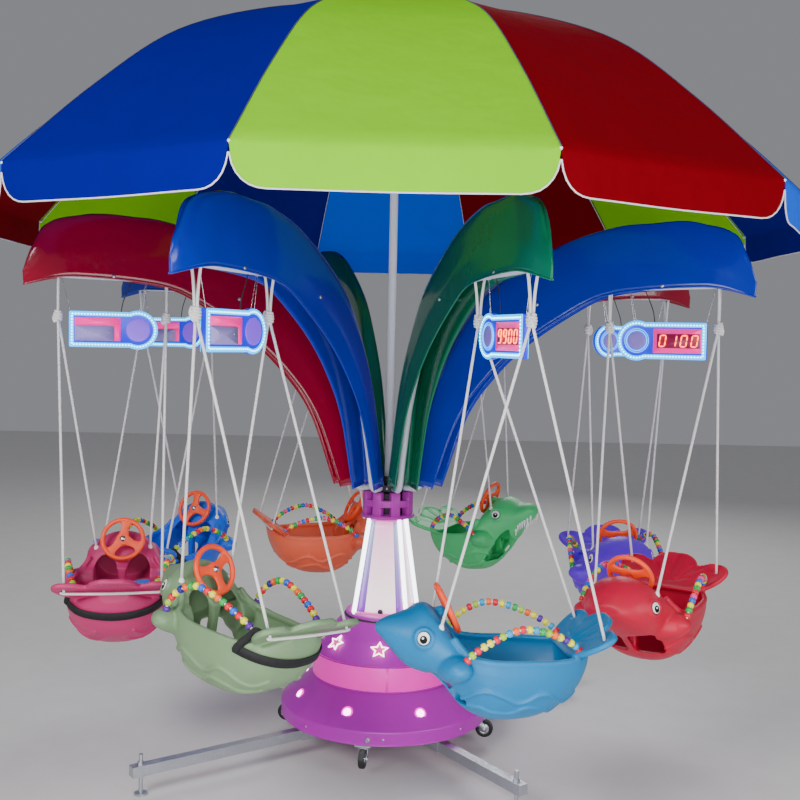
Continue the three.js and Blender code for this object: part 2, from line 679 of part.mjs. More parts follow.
// Holes square to the fluke that the rear ropes pass through.
function flukeHoles() {
  const [holeF, holeS] = FLUKE_HOLE;
  const square = new THREE.Vector3(0, -FLUKE_RISE, 1).setLength(2 * FLUKE_THICK);
  return joined([-1, 1].map((side) => {
    const middle = seatPoint(holeF, side * holeS, flukeZ(holeF));
    return bar(middle.clone().sub(square).toArray(), middle.clone().add(square).toArray(), ROPE_HOLE, 6);
  }));
}

// Fins: short round cones that taper outward from the hull to the seat's widest points.
const FIN_Z = 712;

function fins({ fin: [forward, reach] }) {
  return [-1, 1].map((side) => loft([
    [140, 46, 42], [196, 42, 36], [reach - 16, 31, 27], [reach, 13, 11],
  ].map(([across, long, tall]) => [0, 60, 120, 180, 240, 300].map((turn) => seatPoint(
    forward + long * Math.cos(rad(turn)), side * across, FIN_Z + tall * Math.sin(rad(turn)),
  )))));
}

// Hand rails arch from behind the fins to the root of the fluke.
// Points: [share of the way back, side, z]
const RAIL = 7;
const RAIL_FRONT = -22;
const RAIL_REAR = -238;
const RAIL_ARCH = [
  [0, 204, 730], [0.1, 205, 764], [0.24, 203, 795], [0.38, 199, 818], [0.51, 194, 828],
  [0.67, 183, 815], [0.82, 168, 790], [0.935, 150, 760], [1, 134, 728],
];

function rails({ fin: [forward] }) {
  const start = forward + RAIL_FRONT;
  return [-1, 1].map((side) => tube(RAIL_ARCH.map(([share, out, z]) => (
    seatPoint(start + (RAIL_REAR - start) * share, side * out, z).toArray()
  )), RAIL, 4, 6));
}

// Wheel axis: it leans back towards the child.
const WHEEL_LEAN = 24;
const WHEEL_RADIUS = 82;
const WHEEL_RIM = 8;
const PIN = 6.4;

function alongAxis(head, distance) {
  const [forward, z] = head.wheel;
  const [c, s] = [Math.cos(rad(WHEEL_LEAN)), Math.sin(rad(WHEEL_LEAN))];
  return seatPoint(forward - distance * c, 0, z + distance * s).toArray();
}

// A stub from the head, a thinner pin through the wheel, and a cap in front of it.
const STUB = [15, 5];
const CAP = [12, 5];
const HUB_HALF = 8;

function wheelPin(head) {
  const past = HUB_HALF + 2 * GAP;
  return joined(
    bar(alongAxis(head, -70), alongAxis(head, -past), ...STUB),
    bar(alongAxis(head, -past - GAP), alongAxis(head, past + GAP), PIN, 5),
    bar(alongAxis(head, past), alongAxis(head, past + 5), ...CAP),
  );
}

const SPOKE = [22, 9];
const SPOKE_TURNS = [90, 210, 330];
const WHEEL_HUB_RADIUS = 22;

function steeringWheel(head) {
  const [low, high] = [WHEEL_RADIUS - WHEEL_RIM, WHEEL_RADIUS + WHEEL_RIM];
  const ring = turned([[low, 0], [WHEEL_RADIUS, WHEEL_RIM], [high, 0], [WHEEL_RADIUS, -WHEEL_RIM]], 12);
  const spokes = SPOKE_TURNS.map((turn) => (
    box(WHEEL_RADIUS - 4, ...SPOKE, [WHEEL_RADIUS / 2 + 2, 0, 0], turn)
  ));
  const hub = bar([0, 0, -HUB_HALF], [0, 0, HUB_HALF], WHEEL_HUB_RADIUS, 8);
  const bore = bar([0, 0, -20], [0, 0, 20], PIN + 1.2, 6);
  const flat = joined(ring, spokes, hub).subtract(bore);
  return flat.rotate([WHEEL_LEAN - 90, 0, 0]).translate(alongAxis(head, 0));
}

// Ropes of one seat: a loop over the arm tube, a knot and two legs at each side, and a run under the fluke.
const LOOP = ARM_TUBE / 2 + ROPE_THICK * 0.354 + 0.9;
const STRAND_HALF_GAP = 5;
const KNOT_RADIUS = 26;
const LEG_SINK = [6, 14, 18];

// The point under the fluke where a leg comes out after passing through the middle of its hole.
function legFoot(side, hang, rest) {
  const [holeF, holeS] = FLUKE_HOLE;
  const hole = seatPoint(holeF, side * holeS, flukeZ(holeF)).applyMatrix4(rest);
  const knot = new THREE.Vector3(hang, 0, KNOT_Z);
  return hole.lerp(knot, -(FLUKE_THICK / 2 + ROPE_THICK) / (KNOT_Z - hole.z)).toArray();
}

// The four legs from the knots down onto the head and through the fluke.
function legs(head, rest) {
  const [eyeF, eyeZ, eyeS] = head.eyelet;
  const [ahead, inward, down] = LEG_SINK;
  const skin = loft(head.sections.map(([f, keel, widest, top, half]) => hullRing([
    f, keel, widest, top + GAP, half + GAP,
  ])));
  return joined([[-1, ROPE_INNER], [1, ROPE_OUTER]].map(([side, hang]) => {
    const knot = [hang, 0, KNOT_Z];
    const neck = seatPoint(eyeF + ahead, side * (eyeS - inward), eyeZ - down).applyMatrix4(rest);
    return joined(
      bar(knot, neck.toArray(), ROPE_THICK / 2, 4),
      bar(knot, legFoot(side, hang, rest), ROPE_THICK / 2, 4),
    );
  })).subtract(skin.transform(rest.elements));
}

function ropes(head, rest) {
  const pieces = [];
  for (const hang of [ROPE_INNER, ROPE_OUTER]) {
    const top = hangZ(hang);
    const loop = [180, 150, 120, 90, 60, 30, 0].map((turn) => [
      hang, LOOP * Math.cos(rad(turn)), top + LOOP * Math.sin(rad(turn)),
    ]);
    const strands = [[hang, -STRAND_HALF_GAP, KNOT_Z], ...loop, [hang, STRAND_HALF_GAP, KNOT_Z]];
    pieces.push(sweep(strands, [1, 0, 0], roundSection(ROPE_THICK / 2, 4)));
    pieces.push(solid(new THREE.OctahedronGeometry(KNOT_RADIUS, 0).translate(hang, 0, KNOT_Z)));
  }
  pieces.push(bar(legFoot(-1, ROPE_INNER, rest), legFoot(1, ROPE_OUTER, rest), ROPE_THICK / 2, 4));
  return joined(legs(head, rest), pieces);
}

function seat(head, rest) {
  const hull = joined(loft(hullSections(head).map(hullRing)), fluke().subtract(flukeHoles()))
    .subtract(well(head)).subtract(legHoles(head));
  return joined(hull, fins(head), rails(head), wheelPin(head)).transform(rest.elements);
}

SEATS.forEach((place, i) => {
  const arm = facing(FIRST_ARM + ARM_STEP * i);
  const head = HEADS[place.kind];
  const rest = restMove(place);
  part(`arm_cover_${i + 1}`, armCover(), ARM_COLORS[i % ARM_COLORS.length], arm);
  part(`sign_${i + 1}`, sign(), glow, arm);
  part(`seat_${i + 1}`, seat(head, rest), finish(place.color, 0.35), arm);
  part(`steering_wheel_${i + 1}`, steeringWheel(head).transform(rest.elements), orange, arm);
  part(`ropes_${i + 1}`, ropes(head, rest), rope, arm);
});

// Umbrella: a pole through the hub, a twelve-sided canopy with a scalloped valance, ribs and stretchers
const CANOPY_CURVE = [
  [30, 3086], [320, 3054], [680, 2960], [1080, 2788], [1400, 2540], [1709, RIM_Z],
];
const RIM_RADIUS = CANOPY_CURVE.at(-1)[0];
const VALANCE = 125;
const VALANCE_FOLD = 12;
const SHEET = 3;
const CORNER = 3.2;
const PANEL = 360 / PANELS;

// Rings run from the crown of the canopy to its rim and then down the valance.
function canopyRing(radius, z, drop) {
  const points = [];
  for (let i = 0; i < PANELS; i += 1) {
    for (const [turn, share] of [[0, 0], [CORNER, 1], [PANEL - CORNER, 1]]) {
      const edge = (radius * Math.cos(rad(PANEL / 2))) / Math.cos(rad(PANEL / 2 - turn));
      const angle = rad(UMBRELLA_TURN + PANEL * i + turn);
      points.push(new THREE.Vector3(edge * Math.sin(angle), -edge * Math.cos(angle), z - drop * share));
    }
  }
  return points;
}

function canopy() {
  const outer = CANOPY_CURVE.map(([r, z]) => canopyRing(r, z, 0));
  outer.push(canopyRing(RIM_RADIUS + SHEET, RIM_Z - VALANCE_FOLD, VALANCE - VALANCE_FOLD));
  const inner = CANOPY_CURVE.map(([r, z], k) => canopyRing(r - (k > 3 ? SHEET : 0), z - SHEET, 0));
  inner.push(canopyRing(RIM_RADIUS, RIM_Z - VALANCE_FOLD - 2, VALANCE - VALANCE_FOLD));
  const rings = [...outer, ...inner.reverse()];
  const count = rings[0].length;
  const index = [];
  for (let k = 0; k < rings.length; k += 1) {
    const next = ((k + 1) % rings.length) * count;
    for (let i = 0; i < count; i += 1) {
      const [a, b] = [k * count + i, k * count + ((i + 1) % count)];
      const [c, d] = [next + i, next + ((i + 1) % count)];
      index.push(a, b, d, a, d, c);
    }
  }
  const geometry = new THREE.BufferGeometry().setFromPoints(rings.flat());
  geometry.setIndex(index);
  return solid(geometry);
}

const RIB = 3;
const RIB_SHORT = 8;
const RIM_SLOPE = 0.94;
const RIM_DROP = 4;
const TOP_HUB_Z = 3064;
const RUNNER_Z = 2700;
const SPREAD_RADIUS = 880;
const SPREAD_Z = 2866;
const UMBRELLA_HUB = [POLE / 2 + 0.6, 40];

function umbrellaHub(z) {
  const [inner, outer] = UMBRELLA_HUB;
  return turned([[inner, z - 16], [outer, z - 16], [outer, z + 12], [inner, z + 12]], 16);
}

function ribs() {
  const rib = loft(CANOPY_CURVE.map(([r, z], k) => {
    const top = z - SHEET - GAP - (k > 3 ? RIM_DROP : 0);
    const end = r === RIM_RADIUS ? RIB_SHORT : 0;
    return [[0, 0], [RIB, -2 * RIB], [-RIB, -2 * RIB]].map(([y, down]) => new THREE.Vector3(
      r - end, y, top + down + end * RIM_SLOPE,
    ));
  }));
  const stretcher = bar([30, 0, RUNNER_Z], [SPREAD_RADIUS, 0, SPREAD_Z], RIB, 3);
  const one = joined(rib, stretcher);
  const all = Array.from({ length: PANELS }, (_, i) => one.rotate([0, 0, UMBRELLA_TURN + PANEL * i - 90]));
  const bore = bar([0, 0, RUNNER_Z - 200], [0, 0, TOP_HUB_Z + 56], UMBRELLA_HUB[0], 16);
  return joined(umbrellaHub(TOP_HUB_Z), umbrellaHub(RUNNER_Z), all).subtract(bore);
}

// The pole stands in the crown and ends in a disc and a small round finial above the canopy.
const POLE_FOOT_Z = POLE_SEAT_Z + 1;
const POLE_TOP_Z = 3084;
const FINIAL = [[32, 6], [34, 12], [14, 20], [16, 44], [0, 84]];

function pole() {
  return turned([
    [0, POLE_FOOT_Z], [POLE / 2, POLE_FOOT_Z], [POLE / 2, POLE_TOP_Z],
    ...FINIAL.map(([r, up]) => [r, POLE_TOP_Z + up]),
  ], 16);
}

part('umbrella_pole', pole(), steel);
part('umbrella_ribs', ribs(), steel);
part('umbrella_canopy', canopy(), cloth);

export default model;
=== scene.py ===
# %% [markdown]
# # Chair swing ride
# A children's swing ride under a sun umbrella. Eight animal seats hang on ropes from bent arms, a lit column carries the
# arms, and a stepped round base stands on four slide-out legs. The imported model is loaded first. It gives every size,
# and each finer piece made here is laid over its plain solid and rides on the same moving body.

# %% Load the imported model
import math
from math import cos, pi, radians, sin

import bmesh
import bpy
import numpy as np
from mathutils import Matrix, Vector


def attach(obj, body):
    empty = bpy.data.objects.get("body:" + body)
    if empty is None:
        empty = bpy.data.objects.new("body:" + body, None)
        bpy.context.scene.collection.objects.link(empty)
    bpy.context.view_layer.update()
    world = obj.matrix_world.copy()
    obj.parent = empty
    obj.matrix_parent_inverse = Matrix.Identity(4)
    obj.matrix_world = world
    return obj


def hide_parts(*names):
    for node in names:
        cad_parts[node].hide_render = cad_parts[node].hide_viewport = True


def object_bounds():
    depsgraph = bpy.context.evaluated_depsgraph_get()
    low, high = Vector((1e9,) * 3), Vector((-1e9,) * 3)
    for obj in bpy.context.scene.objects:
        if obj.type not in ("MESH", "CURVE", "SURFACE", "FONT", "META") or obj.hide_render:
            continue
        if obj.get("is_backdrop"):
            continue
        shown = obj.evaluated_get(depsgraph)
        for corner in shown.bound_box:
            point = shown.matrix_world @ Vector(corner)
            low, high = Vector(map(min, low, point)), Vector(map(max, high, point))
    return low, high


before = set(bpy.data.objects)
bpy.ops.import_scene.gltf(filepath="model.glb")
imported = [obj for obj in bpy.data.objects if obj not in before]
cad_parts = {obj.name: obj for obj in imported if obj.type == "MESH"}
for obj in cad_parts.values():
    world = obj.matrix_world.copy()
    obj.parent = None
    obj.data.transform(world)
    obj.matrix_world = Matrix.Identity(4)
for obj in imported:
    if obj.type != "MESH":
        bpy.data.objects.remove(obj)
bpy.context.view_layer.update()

# %% [markdown]
# ## Places on the ride
# Angles are counted from the front and grow to the right, as on a clock face seen from above. An arm's own directions
# are outward, backward and up, so a seat is drawn once and turned to each of its eight places.

# %% The ride's own directions
ARMS = 8
ARM_STEP = 360 / ARMS
FIRST_ARM = -71.7
SEAT_RADIUS = 1.15


def facing(angle):
    """The turn about the axis that sends +X outward at an angle counted from the front."""
    return Matrix.Rotation(radians(angle - 90), 4, "Z")


def arm_turn(index):
    return facing(FIRST_ARM + ARM_STEP * index)


def around(angle, radius, z):
    turn = radians(angle)
    return np.array([radius * sin(turn), -radius * cos(turn), z])


print("arms at", [round(FIRST_ARM + ARM_STEP * i, 1) for i in range(ARMS)])

# %% [markdown]
# ## Drawing tools
# Most pieces of this ride are bent tubes, turned bowls or shells that change their section along a line. Four small
# helpers make these from points: a shell through rings, a pipe along a line, a turned shape, and the object itself.

# %% Pieces from points
def set_down(name, data):
    """Puts a mesh, lamp or camera into the scene."""
    obj = bpy.data.objects.new(name, data)
    bpy.context.scene.collection.objects.link(obj)
    return obj


def smooth_faces(mesh):
    mesh.polygons.foreach_set("use_smooth", [True] * len(mesh.polygons))


def new_mesh(name, points, faces=(), edges=()):
    mesh = bpy.data.meshes.new(name)
    mesh.from_pydata([tuple(map(float, p)) for p in points], edges, [list(map(int, f)) for f in faces])
    return mesh


def make_piece(name, points, faces, material, body=None, turn=None):
    mesh = new_mesh(name, points, faces)
    shape = bmesh.new()
    shape.from_mesh(mesh)
    bmesh.ops.remove_doubles(shape, verts=shape.verts, dist=1e-6)
    bmesh.ops.recalc_face_normals(shape, faces=shape.faces)
    shape.to_mesh(mesh)
    shape.free()
    if turn is not None:
        mesh.transform(turn)
    smooth_faces(mesh)
    mesh.materials.append(material)
    obj = set_down(name, mesh)
    if body:
        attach(obj, body)
    return obj


def unit(way):
    return way / np.linalg.norm(way)


def round_steps(sides):
    """The angles of a circle's points."""
    return np.linspace(0, 2 * pi, sides, endpoint=False)


def lengths_along(line):
    """How far each point of a line lies from its start."""
    return np.concatenate([[0], np.cumsum(np.linalg.norm(np.diff(line, axis=0), axis=1))])


def moved(shape, x, y, z, axes=(0, 1, 2)):
    """A skin with its axes swapped and then carried to another place."""
    return shape[0][:, list(axes)] + np.array([x, y, z]), shape[1]


def smooth_line(points, steps):
    """A curve through points, evenly stepped between each pair."""
    p = np.array(points, float)
    p = np.vstack([2 * p[0] - p[1], p, 2 * p[-1] - p[-2]])
    line = []
    for k in range(1, len(p) - 2):
        for t in np.linspace(0, 1, steps, endpoint=False):
            a = 2 * p[k]
            b = p[k + 1] - p[k - 1]
            c = 2 * p[k - 1] - 5 * p[k] + 4 * p[k + 1] - p[k + 2]
            d = -p[k - 1] + 3 * p[k] - 3 * p[k + 1] + p[k + 2]
            line.append(0.5 * (a + b * t + c * t * t + d * t * t * t))
    return np.array([*line, p[-2]])


def shell(rings, closed_ends=True):
    """Vertices and faces of a skin through rings of the same number of points."""
    rings = np.array(rings, float)
    count = rings.shape[1]
    faces = []
    for k in range(len(rings) - 1):
        for i in range(count):
            a, b = k * count + i, k * count + (i + 1) % count
            faces.append((a, b, b + count, a + count))
    points = rings.reshape(-1, 3)
    if closed_ends:
        middles = np.array([rings[0].mean(0), rings[-1].mean(0)])
        last = (len(rings) - 1) * count
        for i in range(count):
            faces.append((len(points), (i + 1) % count, i))
            faces.append((len(points) + 1, last + i, last + (i + 1) % count))
        points = np.vstack([points, middles])
    return points, faces


def pipe(line, radius, sides=12, round_ends=True):
    """A round skin along a line; radius is a number or one for each point."""
    line = np.array(line, float)
    radii = np.broadcast_to(np.array(radius, float), (len(line),)).copy()
    ways = np.gradient(line, axis=0)
    ways /= np.linalg.norm(ways, axis=1)[:, None]
    start = np.array([0, 0, 1.0]) if abs(ways[0][2]) < 0.9 else np.array([1.0, 0, 0])
    side = np.cross(ways[0], start)
    rings = []
    for p, way, r in zip(line, ways, radii):
        side = side - way * side.dot(way)
        side /= np.linalg.norm(side)
        up = np.cross(way, side)
        turns = round_steps(sides)
        rings.append(p + r * (np.cos(turns)[:, None] * side + np.sin(turns)[:, None] * up))
    if round_ends:
        for end, sign in ((0, -1), (-1, 1)):
            middle, way, r = line[end], ways[end] * sign, radii[end]
            ring = rings[end]
            for share in (0.55, 0.9):
                cap = middle + (ring - middle) * math.sqrt(1 - share ** 2) + way * r * share
                rings.insert(0 if end == 0 else len(rings), cap)
    return shell(rings)


def turned_shape(outline, segments=64):
    """A shape turned round the axis from its closed outline of (radius, height) points."""
    rings = []
    for k in range(segments):
        turn = 2 * pi * k / segments
        rings.append([(r * cos(turn), r * sin(turn), z) for r, z in outline])
    points = np.array(rings, float).reshape(-1, 3)
    count = len(outline)
    faces = []
    for k in range(segments):
        for i in range(count):
            a, b = k * count + i, k * count + (i + 1) % count
            c, d = ((k + 1) % segments) * count + (i + 1) % count, ((k + 1) % segments) * count + i
            faces.append((a, b, c, d))
    return points, faces


def together(*shapes):
    """Several skins as one list of points and one of faces."""
    points, faces, start = [], [], 0
    for p, f in shapes:
        points.append(np.array(p, float))
        faces += [[i + start for i in face] for face in f]
        start += len(p)
    return np.vstack(points), faces


def rounded(outline, cut, steps=4):
    """A closed outline whose corners are cut round."""
    result = []
    for k, here in enumerate(outline):
        here = np.array(here, float)
        before, after = np.array(outline[k - 1], float), np.array(outline[(k + 1) % len(outline)], float)
        reach = min(cut, 0.45 * np.linalg.norm(before - here), 0.45 * np.linalg.norm(after - here))
        a = here + unit(before - here) * reach
        b = here + unit(after - here) * reach
        for t in np.linspace(0, 1, steps):
            result.append(tuple((1 - t) ** 2 * a + 2 * t * (1 - t) * here + t * t * b))
    return result


print("drawing tools ready")

# %% [markdown]
# ## Finishes shared by many pieces
# Every real surface here has small unevenness: moulded plastic varies a little in tone and has a faint orange-peel skin,
# steel carries rub marks, and dust settles on what faces up. Each effect is one node group, so every material can use it
# with its own amounts.

# %% Node groups
def new_group(name, kind, inputs, outputs):
    """A node group. An input is given by its start value, or by the kind of its socket where it has none."""
    tree = bpy.data.node_groups.new(name, kind)
    kinds = {float: "Float", int: "Int", tuple: "Color"}
    for label, value in inputs.items():
        bare = isinstance(value, str)
        socket_type = "NodeSocket" + (value if bare else kinds[type(value)])
        socket = tree.interface.new_socket(label, in_out="INPUT", socket_type=socket_type)
        if not bare:
            socket.default_value = value
    for label, value in outputs.items():
        tree.interface.new_socket(label, in_out="OUTPUT", socket_type="NodeSocket" + value)
    return tree, tree.nodes.new("NodeGroupInput"), tree.nodes.new("NodeGroupOutput")


def feed(tree, value, socket):
    """Links a socket to another node's output, or sets its own value."""
    if isinstance(value, bpy.types.NodeSocket):
        tree.links.new(value, socket)
    else:
        socket.default_value = value


def add_node(tree, kind, settings=None, **inputs):
    """A node with its settings, and with each named input linked or set."""
    node = tree.nodes.new(kind)
    for label, value in (settings or {}).items():
        setattr(node, label, value)
    for label, value in inputs.items():
        feed(tree, value, node.inputs[label.replace("_", " ")])
    return node


def noise(tree, where, scale, detail=3.0):
    return add_node(tree, "ShaderNodeTexNoise", Vector=where, Scale=scale, Detail=detail).outputs["Fac"]


def math_node(tree, operation, a, b=0.5, clamp=False):
    node = add_node(tree, "ShaderNodeMath", {"operation": operation, "use_clamp": clamp})
    feed(tree, a, node.inputs[0])
    feed(tree, b, node.inputs[1])
    return node.outputs[0]


def mix_colour(tree, share, a, b):
    node = add_node(tree, "ShaderNodeMix", {"data_type": "RGBA"}, Factor=share, A=a, B=b)
    return next(s for s in node.outputs if s.type == "RGBA")


def surface_group():
    """Tone, dust and rub marks: a colour and a roughness that change over the surface."""
    tree, inside, out = new_group(
        "Handled surface", "ShaderNodeTree",
        {"Colour": (0.5, 0.5, 0.5, 1), "Roughness": 0.4, "Tone": 0.06, "Dust": 0.1, "Rubbing": 0.1},
        {"Colour": "Color", "Roughness": "Float"})
    given = inside.outputs
    place = add_node(tree, "ShaderNodeTexCoord").outputs["Object"]
    broad, fine = noise(tree, place, 7.0), noise(tree, place, 90.0, 4.0)
    normal = add_node(tree, "ShaderNodeNewGeometry").outputs["Normal"]
    up = add_node(tree, "ShaderNodeSeparateXYZ", Vector=normal).outputs["Z"]
    facing_up = math_node(tree, "MULTIPLY", math_node(tree, "MAXIMUM", up, 0.0), fine)
    dust = math_node(tree, "MULTIPLY", facing_up, given["Dust"], clamp=True)
    shade = math_node(tree, "MULTIPLY", math_node(tree, "SUBTRACT", broad, 0.5), given["Tone"])
    value = math_node(tree, "ADD", 1.0, math_node(tree, "MULTIPLY", shade, 2.0))
    bright = add_node(tree, "ShaderNodeHueSaturation", Value=value, Color=given["Colour"]).outputs["Color"]
    tree.links.new(mix_colour(tree, dust, bright, (0.72, 0.7, 0.68, 1)), out.inputs["Colour"])
    rubs = math_node(tree, "MULTIPLY", math_node(tree, "GREATER_THAN", fine, 0.56), given["Rubbing"])
    rough = math_node(tree, "ADD", given["Roughness"], math_node(tree, "ADD", rubs, dust))
    tree.links.new(math_node(tree, "MULTIPLY", rough, 1.0, clamp=True), out.inputs["Roughness"])
    return tree


def grain_group():
    """A fine skin, as moulded plastic and powder paint have, put out as a bump height."""
    tree, inside, out = new_group("Moulded skin", "ShaderNodeTree", {"Scale": 400.0, "Depth": 0.5},
                                  {"Height": "Float"})
    place = add_node(tree, "ShaderNodeTexCoord").outputs["Object"]
    skin = noise(tree, place, inside.outputs["Scale"], 2.0)
    wavy = math_node(tree, "MULTIPLY", noise(tree, place, 22.0, 1.0), 3.0)
    total = math_node(tree, "ADD", skin, wavy)
    tree.links.new(math_node(tree, "MULTIPLY", total, inside.outputs["Depth"]), out.inputs["Height"])
    return tree


def weave_group():
    """Plain weave from a piece's UV map in metres: a bump height and a mask of the thread tops."""
    tree, inside, out = new_group("Plain weave", "ShaderNodeTree", {"Threads": 900.0, "Depth": 1.0},
                                  {"Height": "Float", "Threads": "Float"})
    place = add_node(tree, "ShaderNodeSeparateXYZ", Vector=add_node(tree, "ShaderNodeTexCoord").outputs["UV"])
    waves = [math_node(tree, "SINE", math_node(tree, "MULTIPLY", place.outputs[k], inside.outputs["Threads"]))
             for k in ("X", "Y")]
    tops = math_node(tree, "ABSOLUTE", math_node(tree, "MULTIPLY", *waves))
    tree.links.new(math_node(tree, "MULTIPLY", tops, inside.outputs["Depth"]), out.inputs["Height"])
    tree.links.new(tops, out.inputs["Threads"])
    return tree


HANDLED, SKIN, WEAVE = surface_group(), grain_group(), weave_group()
print("node groups:", HANDLED.name, SKIN.name, WEAVE.name)

# %% [markdown]
# ## A finish from these groups
# A material's own constants sit on its shader. Only what changes over the surface comes through the groups.

# %% Finishes
def linear(colour):
    """A colour written as on a paint card, turned into the linear light that shaders use."""
    channels = [int(colour[k:k + 2], 16) / 255 for k in (1, 3, 5)]
    return tuple(c / 12.92 if c <= 0.04045 else ((c + 0.055) / 1.055) ** 2.4 for c in channels) + (1.0,)


def group_node(tree, group, **values):
    return add_node(tree, "ShaderNodeGroup", {"node_tree": group}, **values)


def lead_in(tree, colour, roughness, height, depth, **values):
    """Leads what changes over a surface into the material's own shader, beside its constants."""
    bump = add_node(tree, "ShaderNodeBump", Distance=depth, Height=height)
    sockets = tree.nodes["Principled BSDF"].inputs
    for label, value in {"Base Color": colour, "Roughness": roughness, "Normal": bump.outputs[0], **values}.items():
        feed(tree, value, sockets[label.replace("_", " ")])


def new_material(name):
    material = bpy.data.materials.new(name)
    material.use_nodes = True
    return material, material.node_tree


def finish(name, colour, roughness, skin=(400.0, 0.15), tone=0.06, dust=0.08, rubbing=0.08, **shader_values):
    material, tree = new_material(name)
    surface = group_node(tree, HANDLED, Colour=linear(colour), Roughness=roughness, Tone=tone, Dust=dust,
                         Rubbing=rubbing)
    grain = group_node(tree, SKIN, Scale=skin[0], Depth=skin[1])
    lead_in(tree, surface.outputs["Colour"], surface.outputs["Roughness"], grain.outputs["Height"], 0.0006,
            **shader_values)
    return material


def lit(name, colour, strength, roughness=0.35):
    """A lamp or lit plastic: a body colour that also gives off light."""
    return finish(name, colour, roughness, skin=(300.0, 0.05), dust=0.02, rubbing=0.02, Emission_Color=linear(colour),
                  Emission_Strength=strength)


def recolour(material, colour):
    """Gives a finish a colour that changes over the surface."""
    tree = material.node_tree
    surface = next(n for n in tree.nodes if n.type == "GROUP" and n.node_tree == HANDLED)
    tree.links.new(colour, surface.inputs["Colour"])


zinc = finish("zinc_plate", "#b9bdc4", 0.38, skin=(260.0, 0.5), tone=0.2, dust=0.15, rubbing=0.18, Metallic=1.0)
chrome = finish("bright_steel", "#d5d8de", 0.2, skin=(500.0, 0.1), tone=0.08, rubbing=0.1, Metallic=1.0)
pale_paint = finish("pale_paint", "#cfd3e2", 0.42, skin=(300.0, 0.05), dust=0.05, Coat_Weight=0.2)
black_plastic = finish("black_plastic", "#15161a", 0.45, skin=(500.0, 0.4))
black_rubber = finish("black_rubber", "#1d1c1f", 0.75, skin=(300.0, 0.7), dust=0.25)
white_plastic = finish("white_plastic", "#f1f0ee", 0.3, skin=(400.0, 0.1))
base_pink = finish("base_paint", "#b008b0", 0.36, skin=(500.0, 0.35), tone=0.1, dust=0.04, Coat_Weight=0.2,
                   Specular_IOR_Level=0.3)
crown_pink = finish("crown_paint", "#a3249c", 0.42, skin=(600.0, 0.4), tone=0.1, dust=0.02, Specular_IOR_Level=0.3)
crown_dark = finish("crown_inside", "#1c0a26", 0.6, skin=(600.0, 0.4), dust=0.0)
band_glow = lit("band_light", "#f400b8", 0.28)
lamp_glow = lit("lamp_light", "#ffb8f4", 9.0)
# The rings round the lamps glow magenta. This is painted light, standing in for the halo that each lamp throws round
# itself.
painted_halo_glow = lit("painted_lamp_halo", "#ff00d0", 1.3)
white_glow = lit("column_light", "#f4fdff", 5.0)
print("finishes:", len(bpy.data.materials))

# %% [markdown]
# ## Base cover
# The base is a stepped round cover of thin painted metal: a skirt, a low cone, a lit band and an upper cone. Each could
# be a cone primitive, but a turned outline lets every edge be rolled as a spun cover's is, and it keeps the wall.

# %% Turned covers of the base
def turned_piece(name, outline, material, body, segments=96, cut=0.004):
    points, faces = turned_shape(rounded(outline, cut), segments)
    return make_piece(name, points, faces, material, body)


skirt = turned_piece("base_skirt", [
    (0.304, 0.2948), (0.444, 0.183), (0.4455, 0.176), (0.444, 0.13), (0.446, 0.1265), (0.44, 0.126),
    (0.4398, 0.178), (0.304, 0.29),
], base_pink, "base", cut=0.0035)
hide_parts("base_cover")
band = turned_piece("glowing_band", [
    (0.312, 0.2952), (0.312, 0.3998), (0.3, 0.3998), (0.3, 0.2952),
], band_glow, "base", cut=0.002)
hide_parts("light_band")
cone = turned_piece("upper_cone_cover", [
    (0.306, 0.4003), (0.299, 0.4075), (0.24, 0.478), (0.172, 0.551), (0.172, 0.561), (0.159, 0.561), (0.159, 0.5533),
    (0.168, 0.5533), (0.168, 0.543), (0.3, 0.4003),
], base_pink, "base", cut=0.003)
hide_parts("upper_cone")
for name, radius, z in (("band_rim_low", 0.3125, 0.2965), ("band_rim_top", 0.3125, 0.3985)):
    ring = [(radius + 0.0026 * cos(t), z + 0.0026 * sin(t)) for t in np.linspace(0, 2 * pi, 8)[:-1]]
    points, faces = turned_shape(ring, 96)
    make_piece(name, points, faces, base_pink, "base")
print("base covers made, skirt radius", round(max(v.co.x for v in skirt.data.vertices), 4))

# %% [markdown]
# ## Lamps, seam and gland of the base
# Round lamps sit in the low cone at equal steps, so they are instances on a ring of points: Geometry Nodes places a lamp
# body at each point, and the tree's own inputs hold the count and the radius. The lit lens is a low dome.

# %% Lamps by Geometry Nodes
def new_tree(name, inputs):
    return new_group(name, "GeometryNodeTree", {"Geometry": "Geometry", **inputs}, {"Geometry": "Geometry"})


def end_tree(tree, geometry, inside, out, smooth=False):
    """Every tree ends the same way: instances made real, smooth where asked, then the finish set."""
    made = add_node(tree, "GeometryNodeRealizeInstances", Geometry=geometry)
    if smooth:
        soft = tree.nodes.new("GeometryNodeSetShadeSmooth")
        tree.links.new(made.outputs[0], soft.inputs[0])
        made = soft
    paint = add_node(tree, "GeometryNodeSetMaterial", Geometry=made.outputs[0], Material=inside.outputs["Material"])
    tree.links.new(paint.outputs[0], out.inputs["Geometry"])


def grow(tree, name, values, body=None, base=None, turn=None):
    """Runs a tree on an object and keeps the result as a plain mesh on its body."""
    holder = base or set_down(name + "_seed", bpy.data.meshes.new(name + "_seed"))
    modifier = holder.modifiers.new("grow", "NODES")
    modifier.node_group = tree
    sockets = {s.name: s.identifier for s in tree.interface.items_tree if s.in_out == "INPUT"}
    for label, value in values.items():
        modifier[sockets[label]] = value
    result = bpy.data.meshes.new_from_object(holder.evaluated_get(bpy.context.evaluated_depsgraph_get()))
    holder.modifiers.remove(modifier)
    bpy.data.objects.remove(holder)
    result.name = name
    if turn is not None:
        result.transform(turn)
    obj = set_down(name, result)
    if body:
        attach(obj, body)
    return obj


